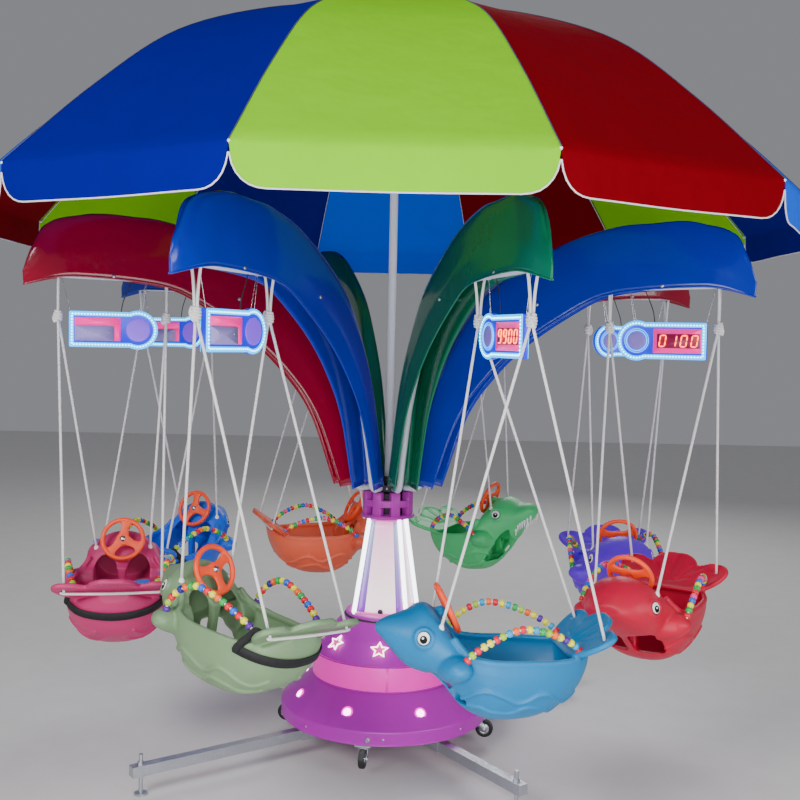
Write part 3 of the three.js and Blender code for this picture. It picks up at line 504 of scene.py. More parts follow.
def ring_tree():
    """Copies of one piece at equal steps round the axis."""
    tree, inside, out = new_tree("Ring of pieces", {
        "Piece": "Object", "Count": 8, "Radius": 0.385, "Height": 0.23, "First": 0.0, "Lean": 0.0,
                                                    "Material": "Material"})
    given = inside.outputs
    share = math_node(tree, "DIVIDE", add_node(tree, "GeometryNodeInputIndex").outputs[0], given["Count"])
    turn = math_node(tree, "ADD", math_node(tree, "MULTIPLY", share, 2 * pi), given["First"])
    x, y = (math_node(tree, "MULTIPLY", math_node(tree, way, turn), given["Radius"]) for way in ("COSINE", "SINE"))
    place = add_node(tree, "ShaderNodeCombineXYZ", X=x, Y=y, Z=given["Height"])
    points = add_node(tree, "GeometryNodePoints", Count=given["Count"])
    put = add_node(tree, "GeometryNodeSetPosition", Geometry=points.outputs[0], Position=place.outputs[0])
    angles = add_node(tree, "ShaderNodeCombineXYZ", Y=given["Lean"], Z=turn)
    piece = add_node(tree, "GeometryNodeObjectInfo", Object=given["Piece"])
    copies = add_node(tree, "GeometryNodeInstanceOnPoints", Points=put.outputs[0], Instance=piece.outputs["Geometry"],
                      Rotation=angles.outputs[0])
    end_tree(tree, copies.outputs[0], inside, out)
    return tree


RING = ring_tree()


def ring_of(name, shape, material, body, count, radius, z, first=0.0, lean=0.0):
    """shape is drawn once at the origin with its front along +X."""
    template = make_piece(name + "_one", *shape, material)
    obj = grow(RING, name, {
        "Piece": template, "Count": count, "Radius": radius, "Height": z, "First": radians(first),
        "Lean": lean, "Material": material,
    }, body)
    bpy.data.objects.remove(template)
    smooth_faces(obj.data)
    return obj


def dome(radius, height, sides=20, rings=5, back=0.004):
    """A low dome whose foot is at the origin and whose top points along +X."""
    rows = [np.array([(-back, radius * cos(t), radius * sin(t))
                      for t in round_steps(sides)])]
    for k in range(rings):
        share = radians(90 * k / rings)
        rows.append(np.array([(height * sin(share), radius * cos(share) * cos(t), radius * cos(share) * sin(t))
                              for t in round_steps(sides)]))
    return shell(rows)


def washer(inner, outer, thick, sides=24, at=0.0):
    """A flat ring round +X with rolled edges."""
    outline = rounded([(inner, at), (outer, at), (outer, at + thick), (inner, at + thick)], thick * 0.45, 3)
    points, faces = turned_shape(outline, sides)
    return points[:, [2, 0, 1]], faces


CONE_LEAN = math.atan2(0.304 - 0.444, 0.2948 - 0.183)
LAMP_LEAN = -(pi / 2 + CONE_LEAN)
LAMPS = {"count": 8, "radius": 0.385, "z": 0.2302, "first": -90 + 22.5, "lean": LAMP_LEAN}
ring_of("lamp_lenses", dome(0.0165, 0.008), lamp_glow, "base", **LAMPS)
# Each lamp's ring carries the painted glow of its halo.
ring_of("lamp_rings", washer(0.0165, 0.0245, 0.004, at=-0.001), painted_halo_glow, "base", **LAMPS)
screws = ring_of("skirt_screws", dome(0.0055, 0.003, 10, 3), zinc, "base", 8, 0.4443, 0.153, -90)
print("lamps and screws:", len(screws.data.polygons), "faces in the screws")

# %% [markdown]
# Small star lights lie on the upper cone. A star is an outline with a raised middle, so a ring of ten points and one
# middle point is enough, with a tube round it for its lit edge.

# %% Star lights, band seam and cable gland
def star_rim(outer, inner):
    """The ten corners of a star, far and near by turns, with one point up."""
    turns = [pi * k / 5 + pi / 2 for k in range(10)]
    return [((inner if k % 2 else outer) * cos(t), (inner if k % 2 else outer) * sin(t))
            for k, t in enumerate(turns)]


STAR_THICK, STAR_EDGE = 0.009, 0.0038


def star():
    rim, thick = star_rim(0.038, 0.0175), STAR_THICK
    rows = [np.array([(x, y * s, z * s) for y, z in rim])
            for x, s in ((-0.004, 0.98), (0.0, 1.0), (thick * 0.6, 0.96), (thick, 0.78), (thick * 0.7, 0.55))]
    return shell(rows)


def star_tube():
    """The lit tube round a star, a little below its middle."""
    rings = []
    for y, z in star_rim(0.036, 0.0165):
        out = np.array([0, y, z]) / math.hypot(y, z)
        rings.append([np.array([STAR_THICK - 0.0005, y, z])
                      + STAR_EDGE * (cos(t) * out + sin(t) * np.array([1, 0, 0]))
                      for t in round_steps(6)])
    points, faces = shell(np.array(rings), closed_ends=False)
    last = 9 * 6
    faces += [(last + i, last + (i + 1) % 6, (i + 1) % 6, i) for i in range(6)]
    return points, faces


star_body = lit("star_body", "#e0409a", 0.7)
star_edge = lit("star_edge", "#ffe9ea", 5.0)
UPPER_LEAN = -(pi / 2 + math.atan2(0.172 - 0.3, 0.551 - 0.4075))
STARS = {"count": 8, "radius": 0.262, "z": 0.453, "first": -90 - 5, "lean": UPPER_LEAN}
ring_of("star_bodies", star(), star_body, "base", **STARS)
ring_of("star_edges", star_tube(), star_edge, "base", **STARS)

seam = rounded([(0.3105, -0.006), (0.314, -0.006), (0.314, 0.006), (0.3105, 0.006)], 0.0012, 3)
rows = [np.array([(x, y, z) for x, y in seam]) for z in (0.2975, 0.3475, 0.3975)]
make_piece("band_seam", *shell(rows), band_glow, "base", facing(2))

gland_at = facing(-8)
gland = together(washer(0.003, 0.0105, 0.006, 6, 0.4425), washer(0.002, 0.0072, 0.006, 16, 0.448))
make_piece("cable_gland", *moved(gland, 0, 0, 0.15), zinc, "base", gland_at)
make_piece("gland_bung", *moved(dome(0.0022, 0.0016, 10, 3), 0.4538, 0, 0.15), black_rubber, "base", gland_at)
print("star lights:", STARS["count"])

# %% [markdown]
# ## Column
# The column is a four-sided lantern. Its corner bars are lit tubes, round in real life, and between them stand pale lit
# panels. The bars are pipes between the same corners as the solid's, and each panel is a plate with a soft printed tint,
# left without its picture.

# %% Corner bars and lit panels
COLUMN_TURN = -12.5


def square(half, z):
    c, s = cos(radians(COLUMN_TURN)), sin(radians(COLUMN_TURN))
    corners = ((-1, -1), (1, -1), (1, 1), (-1, 1))
    return np.array([(x * half * c - y * half * s, x * half * s + y * half * c, z) for x, y in corners])


foot, head = square(0.1135, 0.5673), square(0.065, 0.961)
bars = together(*(pipe(np.linspace(foot[i], head[i], 6), 0.0094, 16) for i in range(4)))
make_piece("column_bars", *bars, white_glow, "base")
plate_rows = [square(h, z) for h, z in ((0.119, 0.5615), (0.121, 0.563), (0.121, 0.5665), (0.119, 0.568))]
cap_rows = [square(h, z) for h, z in ((0.069, 0.9552), (0.071, 0.9565), (0.071, 0.9638), (0.069, 0.9648))]
collar_points, collar_faces = turned_shape(rounded([(0.1, 0.5535), (0.155, 0.5535), (0.155, 0.5625), (0.1, 0.5625)],
                                                   0.002), 64)
# The column's plates and collar are pink paint that also gives off a faint glow. This is painted light, as they hold no
# lamp.
column_paint_with_painted_glow = lit("column_paint_with_painted_glow", "#e866c4", 0.35, 0.3)
turned_piece("column_gasket", [(0.169, 0.5435), (0.18, 0.5435), (0.1737, 0.5506), (0.169, 0.5506)], black_plastic,
             "base",
             cut=0.0008)
plates = make_piece("column_plates", *together(shell(plate_rows), shell(cap_rows), (collar_points, collar_faces)),
                    column_paint_with_painted_glow, "base")
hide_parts("column_frame")


def panel_finish():
    """A lit diffuser: pale pink above and almost white at the foot, with a dull strip along each bar."""
    material = lit("column_diffuser", "#ffeaf6", 1.0, 0.25)
    tree = material.node_tree
    shader = tree.nodes["Principled BSDF"]
    place = add_node(tree, "ShaderNodeSeparateXYZ", Vector=add_node(tree, "ShaderNodeTexCoord").outputs["UV"])
    edge = math_node(tree, "ABSOLUTE", math_node(tree, "SUBTRACT", place.outputs["X"], 0.5))
    rise = math_node(tree, "SUBTRACT", 1.0, place.outputs["Y"], clamp=True)
    strip = math_node(tree, "GREATER_THAN", edge, 0.35)
    middle = mix_colour(tree, rise, (0.8, 0.34, 0.6, 1), (1.0, 0.86, 0.84, 1))
    border = mix_colour(tree, rise, (0.2, 0.26, 0.36, 1), (0.16, 0.02, 0.34, 1))
    colour = mix_colour(tree, strip, middle, border)
    tree.links.new(colour, shader.inputs["Emission Color"])
    recolour(material, colour)
    shader.inputs["Emission Strength"].default_value = 1.15
    return material


diffuser = panel_finish()
panel_points, panel_faces, panel_uv = [], [], []
for side in range(4):
    low = [square(0.1065, 0.5695)[side], square(0.1065, 0.5695)[(side + 1) % 4]]
    high = [square(0.0592, 0.954)[side], square(0.0592, 0.954)[(side + 1) % 4]]
    across = unit(low[1] - low[0])
    outward = np.cross(across, [0, 0, 1.0])
    for row in range(13):
        v = row / 12
        a, b = low[0] + (high[0] - low[0]) * v, low[1] + (high[1] - low[1]) * v
        for column in range(9):
            u = column / 8
            bulge = 0.0016 * sin(pi * u)
            panel_points.append(a + (b - a) * (0.045 + 0.91 * u) + outward * bulge)
            panel_uv.append((u, v))
    start = side * 13 * 9
    for row in range(12):
        for column in range(8):
            a = start + row * 9 + column
            panel_faces.append((a, a + 1, a + 10, a + 9))
mesh = new_mesh("column_sides", panel_points, panel_faces)
layer = mesh.uv_layers.new(name="UVMap")
for loop in mesh.loops:
    layer.data[loop.index].uv = panel_uv[loop.vertex_index]
mesh.materials.append(diffuser)
smooth_faces(mesh)
panels = set_down("column_sides", mesh)
wall = panels.modifiers.new("wall", "SOLIDIFY")
wall.thickness, wall.offset = 0.003, -1
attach(panels, "base")
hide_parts("column_panels")

knob = together(washer(0.0, 0.009, 0.01, 20), washer(0.0, 0.012, 0.004, 20))
make_piece("column_latch", *moved(knob, 0.106, 0, 0.5735), black_plastic, "base", facing(COLUMN_TURN))
print("column panels:", len(panel_faces), "faces")

# %% [markdown]
# ## Crown
# The turning head is a short drum with eight upright bars and a band round them, like a small castle. Bars that repeat
# round an axis suit the same ring tree as the lamps.

# %% Crown and its bars
def bar_shape(depth, width, low, high):
    """An upright bar with rolled corners; its middle is at the origin of the ring."""
    outline = rounded([(-depth / 2, -width / 2), (depth / 2, -width / 2), (depth / 2, width / 2),
                       (-depth / 2, width / 2)],
                      0.004, 3)
    rows = [np.array([(x * s, y * s, z) for x, y in outline])
            for z, s in ((low, 0.86), (low + 0.002, 1), (high - 0.002, 1), (high, 0.86))]
    return shell(rows)


drum = [(0.034, 0.9455), (0.034, 0.969), (0.115, 0.969), (0.1165, 0.974), (0.112, 0.9805), (0.107, 0.9835),
        (0.072, 0.9835), (0.072, 0.986), (0.0185, 0.986), (0.0175, 0.9855), (0.01, 0.9455)]
crown_foot = turned_piece("crown_foot", drum, crown_pink, "rotor", 64, 0.002)
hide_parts("crown")
core = [(0.0185, 0.985), (0.066, 0.985), (0.068, 0.99), (0.068, 1.07), (0.064, 1.076), (0.0185, 1.076)]
turned_piece("crown_core", core, crown_dark, "rotor", 48, 0.002)
turned_piece("crown_band", [(0.07, 1.018), (0.1075, 1.018), (0.1075, 1.048), (0.07, 1.048)], crown_pink, "rotor", 64)
CROWN_BARS = {"count": ARMS, "radius": 0.092, "z": 0.0, "first": FIRST_ARM - 90}
ring_of("crown_bars", bar_shape(0.032, 0.041, 0.981, 1.0818), crown_pink, "rotor", **CROWN_BARS)
print("crown bars:", ARMS)

# %% [markdown]
# ## Arm tubes
# Each arm is one round steel tube, bent outward from the hub and then almost level. A pipe along a smooth line through
# the bends shows that, and the line keeps to the solid tube's own points.

# %% Arm tubes and hub
ROPE_INNER, ROPE_OUTER, HANG_SLOPE = 0.9455, 1.3545, 0.02


def hang_z(radius):
    return 1.945 + (radius - ROPE_INNER) * HANG_SLOPE


HUB_Z = 1.0823
ARM_LINE = [(0.06, HUB_Z + 0.015), (0.11, HUB_Z + 0.015), (0.13, HUB_Z + 0.017), (0.149, HUB_Z + 0.034),
            (0.163, 1.165),
            (0.198, 1.29), (0.256, 1.46), (0.352, 1.63), (0.488, 1.77), (0.645, 1.87), (0.79, 1.928),
            (0.9155, hang_z(0.9155)), (1.15, hang_z(1.15)), (1.404, hang_z(1.404))]
arm_line = smooth_line([(r, 0, z) for r, z in ARM_LINE], 5)
tubes = []
for i in range(ARMS):
    points, faces = pipe(arm_line, 0.0137, 16)
    turn = np.array(arm_turn(i))[:3, :3]
    tubes.append((points @ turn.T, faces))
    for r, z, half in ((0.66, 1.878, 0.03), (1.15, hang_z(1.15), 0.036)):
        pin, pin_faces = pipe([(r, -half, z), (r, 0, z), (r, half, z)], 0.0045, 8)
        tubes.append((pin @ turn.T, pin_faces))
arm_tubes = make_piece("arm_tubes", *together(*tubes), pale_paint, "rotor")
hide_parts("arm_frame")
turned_piece("arm_hub", [(0.0215, HUB_Z), (0.08, HUB_Z), (0.08, HUB_Z + 0.03), (0.0215, HUB_Z + 0.03)], crown_dark,
             "rotor", 48, 0.003)
ring_of("hub_bolts", dome(0.006, 0.004, 8, 3), zinc, "rotor", ARMS, 0.0805, HUB_Z + 0.015, FIRST_ARM - 90 + 22.5)
print("arm tube length", round(float(np.linalg.norm(np.diff(arm_line, axis=0), axis=1).sum()), 3))

# %% [markdown]
# ## Arm covers
# Every arm wears a tall, narrow cover of glossy glass-fibre, shaped like a long drooping leaf: a rounded ridge on top,
# flutes down its sides, and folds that grow towards the tip. A skin through many cross sections gives this. The sections
# of the solid are interpolated, and the folds push the skin in and out between them.

# %% Arm covers
# top radius, top z, lower radius, lower z, half width at the lower edge: millimetres; then the top width's share
COVER = np.array([
    [130, 1120, 228, 1108, 50, 0.9], [233, 1543, 334, 1401, 47, 0.78], [361, 1816, 455, 1576, 44, 0.52],
    [489, 1959, 613, 1726, 41, 0.4], [737, 2107, 820, 1861, 40, 0.34], [939, 2171, 935, 1912, 41, 0.34],
    [1085, 2186, 1092, 1935, 41, 0.34], [1265, 2185, 1282, 1944, 40, 0.34], [1404, 2134, 1364, 1938, 34, 0.34],
    [1455, 2040, 1432, 1922, 19, 0.34], [1484, 1962, 1480, 1908, 4, 0.34]]) * ([0.001] * 5 + [1.0])
COVER_UP = [0, 0.22, 0.5, 0.8, 0.985, 1.02]


def cover_side(ridge):
    """Half of a section, from its lower edge to its ridge: a leaf's narrow ridge or a channel's wide one."""
    wide = np.array([1, 0.97, 0.86, 0.66, 0.34, 0])
    share = (ridge - 0.34) / 0.66
    wide = wide + (1 - wide) * share * np.array([1, 1, 1, 1, 1, 0])
    half = list(zip(wide, COVER_UP))
    return smooth_line([(x, z, 0) for x, z in half + [(-x, z) for x, z in half[-2::-1]]], 3)[:, :2]


def cover_skin(inset):
    sections = smooth_line(COVER, 10)
    rows = []
    for k, (top_r, top_z, low_r, low_z, half, top_share) in enumerate(sections):
        along = k / (len(sections) - 1)
        tall = math.hypot(top_r - low_r, top_z - low_z)
        row = []
        for side, up in cover_side(top_share):
            ridge = math.exp(-(side / 0.16) ** 2) * 0.05 * min(1, along * 3)
            flute = 0.07 * sin(min(abs(up), 1) * pi * 2.2) * min(1, along * 4) * (1 - 0.3 * along)
            fold = 0.1 * sin(along * 46 + 3.2 * side) * max(0, (along - 0.55) / 0.45) * up * (1 - abs(side) ** 2)
            wide = half * (side * (1 - abs(flute) * 0.9)) - math.copysign(inset, side) * (abs(side) > 1e-6)
            high = up - ridge * (1 if up > 0.9 else 0) - 0.35 * fold
            high = high - (inset / tall if up > 0.3 else 0)
            row.append((low_r + (top_r - low_r) * high, wide, low_z + (top_z - low_z) * high))
        rows.append(row)
    return np.array(rows)


def cover_shape():
    outer, inner = cover_skin(0.0), cover_skin(0.0034)
    rings = np.concatenate([outer, inner[:, ::-1]], axis=1)
    points, faces = shell(rings, closed_ends=False)
    count = rings.shape[1]
    for start in (0, (len(rings) - 1) * count):
        for i in range(count // 2 - 1):
            faces.append((start + i, start + i + 1, start + count - 2 - i, start + count - 1 - i))
    return points, faces, outer


gel_red, gel_blue, gel_green = (
    finish(f"gel_coat_{name}", colour, 0.16, skin=(60.0, 0.5), tone=0.12, dust=0.0, rubbing=0.05, Coat_Weight=0.35,
           Coat_Roughness=0.06, Specular_IOR_Level=0.35)
    for name, colour in (("red", "#8c0026"), ("blue", "#0428a6"), ("green", "#026a4c")))
GELS = [gel_red, gel_blue, gel_green, gel_blue]
points, faces, outer = cover_shape()
lips = []
for column in (0, -1):
    edge = outer[:, column] + np.array([0, 0, 0.002])
    lips.append(pipe(edge[::2], 0.0034, 8))
for i in range(ARMS):
    piece = make_piece(f"cover_{i + 1}", *together((points, faces), *lips), GELS[i % 4], "rotor", arm_turn(i))
    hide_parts(f"arm_cover_{i + 1}")
    screws = []
    for r, z, half in ((0.66, 1.878, 0.0385), (1.15, hang_z(1.15), 0.0405)):
        for side in (-1, 1):
            head_points, head_faces = moved(dome(0.0075, 0.0035, 10, 3), 0, 0, 0, (1, 0, 2))
            screws.append((head_points * np.array([1, side, 1]) + np.array([r, side * half, z]), head_faces))
    make_piece(f"cover_screws_{i + 1}", *together(*screws), zinc, "rotor", arm_turn(i))
print("cover faces:", len(faces))

# %% [markdown]
# ## Umbrella canopy
# The canopy is woven cloth, cut in twelve gores that are sewn along the ribs, so it is taut on the ribs and hangs a
# little slack between them. It is made as one continuous sheet of fine quads. Each gore sags inward by a small share of
# its width, and its valance hangs from the rim with rounded lower corners. Cloth simulation could sag it too, but the
# cloth here is stretched, so the measured curve is the safer way.

# %% The cloth sheet
RIM_Z = 2.25
RIM_RADIUS = 1.709
CANOPY_CURVE = [(0.034, 3.0845), (0.32, 3.054), (0.68, 2.96), (1.08, 2.788), (1.4, 2.54), (RIM_RADIUS, RIM_Z)]
PANELS, UMBRELLA_TURN = 12, 15
GORE_ANGLE = 360 / PANELS
VALANCE, VALANCE_CORNER = 0.125, 3.6
GORE_COLUMNS, CURVE_STEPS = 16, 7


def canopy_finish_with_painted_glow(name, colour):
    material, tree = new_material(name)
    surface = group_node(tree, HANDLED, Colour=linear(colour), Roughness=0.8, Tone=0.05, Dust=0.0,
                         Rubbing=0.0).outputs
    weave = group_node(tree, WEAVE, Threads=2600.0, Depth=0.06).outputs
    shade = mix_colour(tree, math_node(tree, "MULTIPLY", weave["Threads"], 0.02), surface["Colour"],
                       (0.0, 0.0, 0.0, 1))
    place = add_node(tree, "ShaderNodeTexCoord").outputs["Object"]
    crease = math_node(tree, "MULTIPLY", noise(tree, place, 9.0, 2.0), 6.0)
    # The cloth also gives off a faint glow of its own colour. This is painted light, which brightens the canopy as
    # though lamps lit it.
    lead_in(tree, shade, surface["Roughness"], math_node(tree, "ADD", weave["Height"], crease), 0.0012,
            Specular_IOR_Level=0.05, Emission_Color=surface["Colour"], Emission_Strength=0.12)
    return material


CLOTHS = [canopy_finish_with_painted_glow(f"cloth_{name}", colour) for name, colour in (
    ("lime", "#7cc800"), ("red", "#740010"), ("light_blue", "#005ff0"), ("dark_blue", "#04037c"))]


def gore_point(radius, z, share, slack):
    """A point of a gore; share runs from one rib, 0, to the next, 1."""
    turn, half = GORE_ANGLE * share, GORE_ANGLE / 2
    edge = radius * cos(radians(half)) / cos(radians(half - turn))
    sag = sin(pi * share) * slack
    return edge - sag, turn, z - sag * 0.6


def gore_share(column):
    """Where a column of the cloth stands between its two ribs; the columns are closer together beside the ribs."""
    return 0.5 - 0.5 * cos(pi * (column % GORE_COLUMNS) / GORE_COLUMNS)


def valance_drop(share):
    """How far the valance hangs: rounded corners next to each rib."""
    near = min(share, 1 - share) * GORE_ANGLE / VALANCE_CORNER
    return VALANCE * (1 - max(0, 1 - near) ** 2.4) ** (1 / 2.4) if near > 0 else 0.0


def valance_point(panel, share, row):
    """A point of the valance: row 0 is at the rim and VALANCE_ROWS at the hem. Gives the drop and angle too."""
    edge, turn, height = gore_point(RIM_RADIUS, RIM_Z, share, 0.004)
    drop = valance_drop(share) * row / VALANCE_ROWS
    wave = 0.004 * sin(share * pi * 3) * row / VALANCE_ROWS
    angle = UMBRELLA_TURN + GORE_ANGLE * panel + turn
    return around(angle, edge + 0.002 + wave, height - drop - 0.0006 * row), (edge * radians(angle), drop)


VALANCE_ROWS = 8
curve = smooth_line([(r, z, 0) for r, z in CANOPY_CURVE], CURVE_STEPS)[:, :2]
columns = PANELS * GORE_COLUMNS
cloth_points, cloth_faces, cloth_slots, cloth_uv = [], [], [], []
down = lengths_along(curve)
for k, (radius, z) in enumerate(curve):
    for column in range(columns):
        share = gore_share(column)
        slack = 0.012 * sin(pi * min(1, k / (len(curve) - 1))) + 0.004 * (k / len(curve))
        edge, turn, height = gore_point(radius, z, share, slack * (radius / 1.7))
        angle = UMBRELLA_TURN + GORE_ANGLE * (column // GORE_COLUMNS) + turn
        cloth_points.append(around(angle, edge, height))
        cloth_uv.append((edge * radians(angle), down[k]))
for row in range(1, VALANCE_ROWS + 1):
    for column in range(columns):
        point, (across, drop) = valance_point(column // GORE_COLUMNS, gore_share(column), row)
        cloth_points.append(point)
        cloth_uv.append((across, down[-1] + drop))
rows_total = len(curve) + VALANCE_ROWS
for k in range(rows_total - 1):
    for column in range(columns):
        a, b = k * columns + column, k * columns + (column + 1) % columns
        cloth_faces.append((a + columns, b + columns, b, a))
        cloth_slots.append((column // GORE_COLUMNS + 1) % 4)
mesh = new_mesh("canopy_cloth", cloth_points, cloth_faces)
mesh.polygons.foreach_set("material_index", cloth_slots)
smooth_faces(mesh)
layer = mesh.uv_layers.new(name="UVMap")
for polygon in mesh.polygons:
    uvs = [cloth_uv[mesh.loops[l].vertex_index] for l in polygon.loop_indices]
    wide = max(u for u, v in uvs)
    for l, (u, v) in zip(polygon.loop_indices, uvs):
        layer.data[l].uv = (u if wide - u < 2 else u + 2 * pi * 1.7, v)
for cloth in CLOTHS:
    mesh.materials.append(cloth)
canopy = set_down("canopy_cloth", mesh)
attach(canopy, "rotor")
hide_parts("umbrella_canopy")

# %% [markdown]
# The hem of the valance is bound with a pale tape, and each gore seam is covered by a thin strip on the outside.

# %% Hem tape and seam tapes
tape_white = finish("hem_tape", "#e9e4e6", 0.7, skin=(900.0, 1.0))
hem, seams = [], []
for panel in range(PANELS):
    line = []
    for column in range(0, GORE_COLUMNS * 2 + 1):
        share = 0.5 - 0.5 * cos(pi * column / (GORE_COLUMNS * 2))
        line.append(valance_point(panel, min(max(share, 0.002), 0.998), VALANCE_ROWS)[0])
    hem.append(pipe(line, 0.0026, 6))
    rib_line = [around(UMBRELLA_TURN + GORE_ANGLE * panel, r + 0.0008, z + 0.0008) for r, z in curve]
    seams.append(pipe(rib_line, 0.0016, 6))
make_piece("canopy_hem", *together(*hem), tape_white, "rotor")
tape_dark = finish("seam_tape", "#3f3f66", 0.75, skin=(900.0, 1.0))
make_piece("canopy_seams", *together(*seams), tape_dark, "rotor")
print("hem pieces:", len(hem))

# %% [markdown]
# ## Ribs, pole and finial
# The umbrella's frame is thin round wire and a steel pole. One rib and one stretcher are drawn, and the ring tree repeats
# them twelve times round the axis.

# %% Umbrella frame
rib_line = [(r, 0, z - 0.0075 - (0.004 if k > 21 else 0)) for k, (r, z) in enumerate(curve)]
rib_line[-1] = (1.7005, 0, rib_line[-1][2] + 0.006)
rib = pipe(rib_line, 0.003, 8)
stretcher = pipe(np.linspace((0.034, 0, 2.7), (0.88, 0, 2.862), 6), 0.003, 8)
knuckle = pipe([(0.868, 0, 2.86), (0.88, 0, 2.8625), (0.892, 0, 2.864)], 0.0052, 10)
frame_ring = {"count": PANELS, "radius": 0.0, "z": 0.0, "first": UMBRELLA_TURN - 90}
rib_piece = ring_of("rib_wires", together(rib, stretcher, knuckle), chrome, "rotor", **frame_ring)
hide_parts("umbrella_ribs")
for name, z in (("top_notch", 3.062), ("runner", 2.698)):
    outline = [(0.0182, z - 0.014), (0.028, z - 0.014), (0.04, z - 0.004), (0.04, z + 0.006), (0.03, z + 0.012),
               (0.0182, z + 0.014)]
    turned_piece(name, outline, white_plastic, "rotor", 40, 0.002)
tips = dome(0.006, 0.01, 12, 4, 0.006)
ring_of("rib_tips", tips, white_plastic, "rotor", PANELS, 1.7045, RIM_Z - 0.006, UMBRELLA_TURN - 90)
pole_line = [(0.0, 1.0372), (0.0172, 1.0372), (0.0172, 3.0835), (0.031, 3.0895), (0.034, 3.096), (0.03, 3.0985),
             (0.014, 3.105),
             (0.0125, 3.112), (0.0165, 3.13), (0.015, 3.148), (0.008, 3.162), (0.0, 3.168)]
rows = []
for radius, z in pole_line[1:-1]:
    rows.append(np.array([(radius * cos(t), radius * sin(t), z) for t in round_steps(40)]))
pole_piece = make_piece("pole_and_finial", *shell(rows), pale_paint, "rotor")
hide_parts("umbrella_pole")
turned_piece("pole_collar", [(0.0174, 1.104), (0.026, 1.104), (0.028, 1.112), (0.028, 1.136), (0.022, 1.142),
                             (0.0174, 1.142)],
             black_plastic, "rotor", 32, 0.002)
print("pole and", PANELS, "ribs made")

# %% [markdown]
# ## Animal seats
# Each seat is one hollow moulded shell: a round-bottomed bowl, an animal's head in front, small fins, and a fluke behind
# that carries the rear ropes. Rotational moulding rounds every edge and blends the forms into each other. A subdivision
# cage could show that too, but here the forms are drawn apart, cut and joined, then remeshed as one skin and smoothed,
# which rounds them all in the same way the mould does.

# %% Sections of the three kinds of seat
BOWL = [[-288, 712, 738, 760, 56], [-262, 640, 716, 746, 112], [-222, 580, 706, 726, 150], [-160, 538, 708, 720, 180],
        [-80, 508, 712, 726, 196], [40, 506, 719, 733, 199], [110, 531, 730, 748, 188]]
KINDS = {
    "dolphin": {
        "bowl_end": 7, "wheel": (0.172, 0.866), "eyelet": (0.198, 0.839), "well_front": 0.122, "slope": 0.85,
        "head": [[152, 566, 738, 770, 172], [188, 614, 746, 830, 162], [226, 654, 758, 876, 152],
                 [262, 668, 768, 886, 137],
                 [300, 682, 778, 867, 112], [330, 704, 786, 857, 93], [360, 741, 794, 849, 70],
                 [388, 777, 804, 838, 44],
                 [409, 802, 812, 824, 18]],
        "eye": (0.266, 0.799), "fin": (0.168, 0.242),
    },
    "whale": {
        "bowl_end": 7, "wheel": (0.182, 0.874), "eyelet": (0.228, 0.845), "well_front": 0.122, "slope": 0.65,
        "head": [[152, 562, 742, 772, 174], [190, 598, 752, 846, 160], [240, 644, 762, 884, 150],
                 [300, 688, 772, 884, 134],
                 [350, 730, 783, 860, 108], [382, 764, 793, 834, 72], [398, 784, 800, 818, 42]],
        "eye": (0.287, 0.8), "fin": (0.18, 0.226),
    },
    "crocodile": {
        "bowl_end": 5, "wheel": (0.052, 0.893), "eyelet": (0.098, 0.868), "well_front": 0.0, "slope": 0.1,
        "head": [[18, 514, 724, 744, 196], [56, 530, 740, 836, 178], [100, 566, 762, 884, 152],
                 [158, 622, 784, 903, 126],
                 [204, 686, 800, 888, 106], [236, 748, 812, 873, 92], [262, 768, 820, 874, 80],
                 [288, 784, 828, 870, 64],
                 [314, 812, 838, 854, 28]],
        "eye": (0.142, 0.828), "fin": (0.07, 0.226),
    },
}
LEG_Z, LEG_TOP, LEG_HALF, LEG_SIDE = 0.574, 0.784, 0.053, 0.066
SEATS = [("dolphin", "#bc2c68"), ("dolphin", "#73906a"), ("dolphin", "#0074ac"), ("whale", "#c40034"),
         ("whale", "#6414dc"), ("crocodile", "#46c674"), ("dolphin", "#e0603f"), ("dolphin", "#1062e0")]
# How each seat hangs: millimetres forward, outward and up, then degrees that the head turns outward, lifts, and that
# the outer side lifts.
REST = [(0, -30, 15, -8, 0, 0), (-25, -32, 46, -13, 3, 7), (-17, 0, -5, -13, -2, 3), (0, -22, 22, -7, -5, 0),
        (-18, -26, -5, -22, -1, 4), (-10, 5, 12, -6, 3, 3), (0, 0, -28, 0, -4, 1), (0, 0, 0, 3, 3, 1)]
REST_Z = 0.72
WHEEL_LEAN = 24


def rest_move(i):
    """The move from a seat that hangs straight and level to the way this one hangs on its ropes."""
    ahead, outward, up = (value / 1000 for value in REST[i][:3])
    yaw, pitch, roll = (radians(value) for value in REST[i][3:])
    turn = Matrix.Rotation(yaw, 4, "Z") @ Matrix.Rotation(-roll, 4, "Y") @ Matrix.Rotation(-pitch, 4, "X")
    return (Matrix.Translation((SEAT_RADIUS + outward, -ahead, REST_Z + up)) @ turn
            @ Matrix.Translation((-SEAT_RADIUS, 0, -REST_Z)))


def seat_turn(i):
    return arm_turn(i) @ rest_move(i)


def seat_point(forward, side, z):
    """A seat's own directions: forward is the way it looks, side is outward from the axis."""
    return np.array([SEAT_RADIUS + side, -forward, z])


def sections_of(kind):
    k = KINDS[kind]
    return smooth_line(np.array(BOWL[:k["bowl_end"]] + k["head"]) / 1000, 7)


def hull_ring(section, sides=40):
    forward, keel, widest, top, half = section
    ring = []
    for t in round_steps(sides):
        across, up = cos(t), sin(t)
        full = math.copysign(abs(across) ** 0.8, across) if up < 0 else across
        ring.append(seat_point(forward, half * full, widest + up * ((widest - keel) if up < 0 else (top - widest))))
    return np.array(ring)


def hull_width(table, forward, z):
    """Half the hull's width at a length and a height."""
    keel, widest, top, half = (np.interp(forward, table[:, 0], table[:, c]) for c in (1, 2, 3, 4))
    up = (z - widest) / ((widest - keel) if z < widest else (top - widest))
    across = math.sqrt(max(0.0, 1 - min(1, abs(up)) ** 2))
    return half * (across ** 0.8 if up < 0 else across)


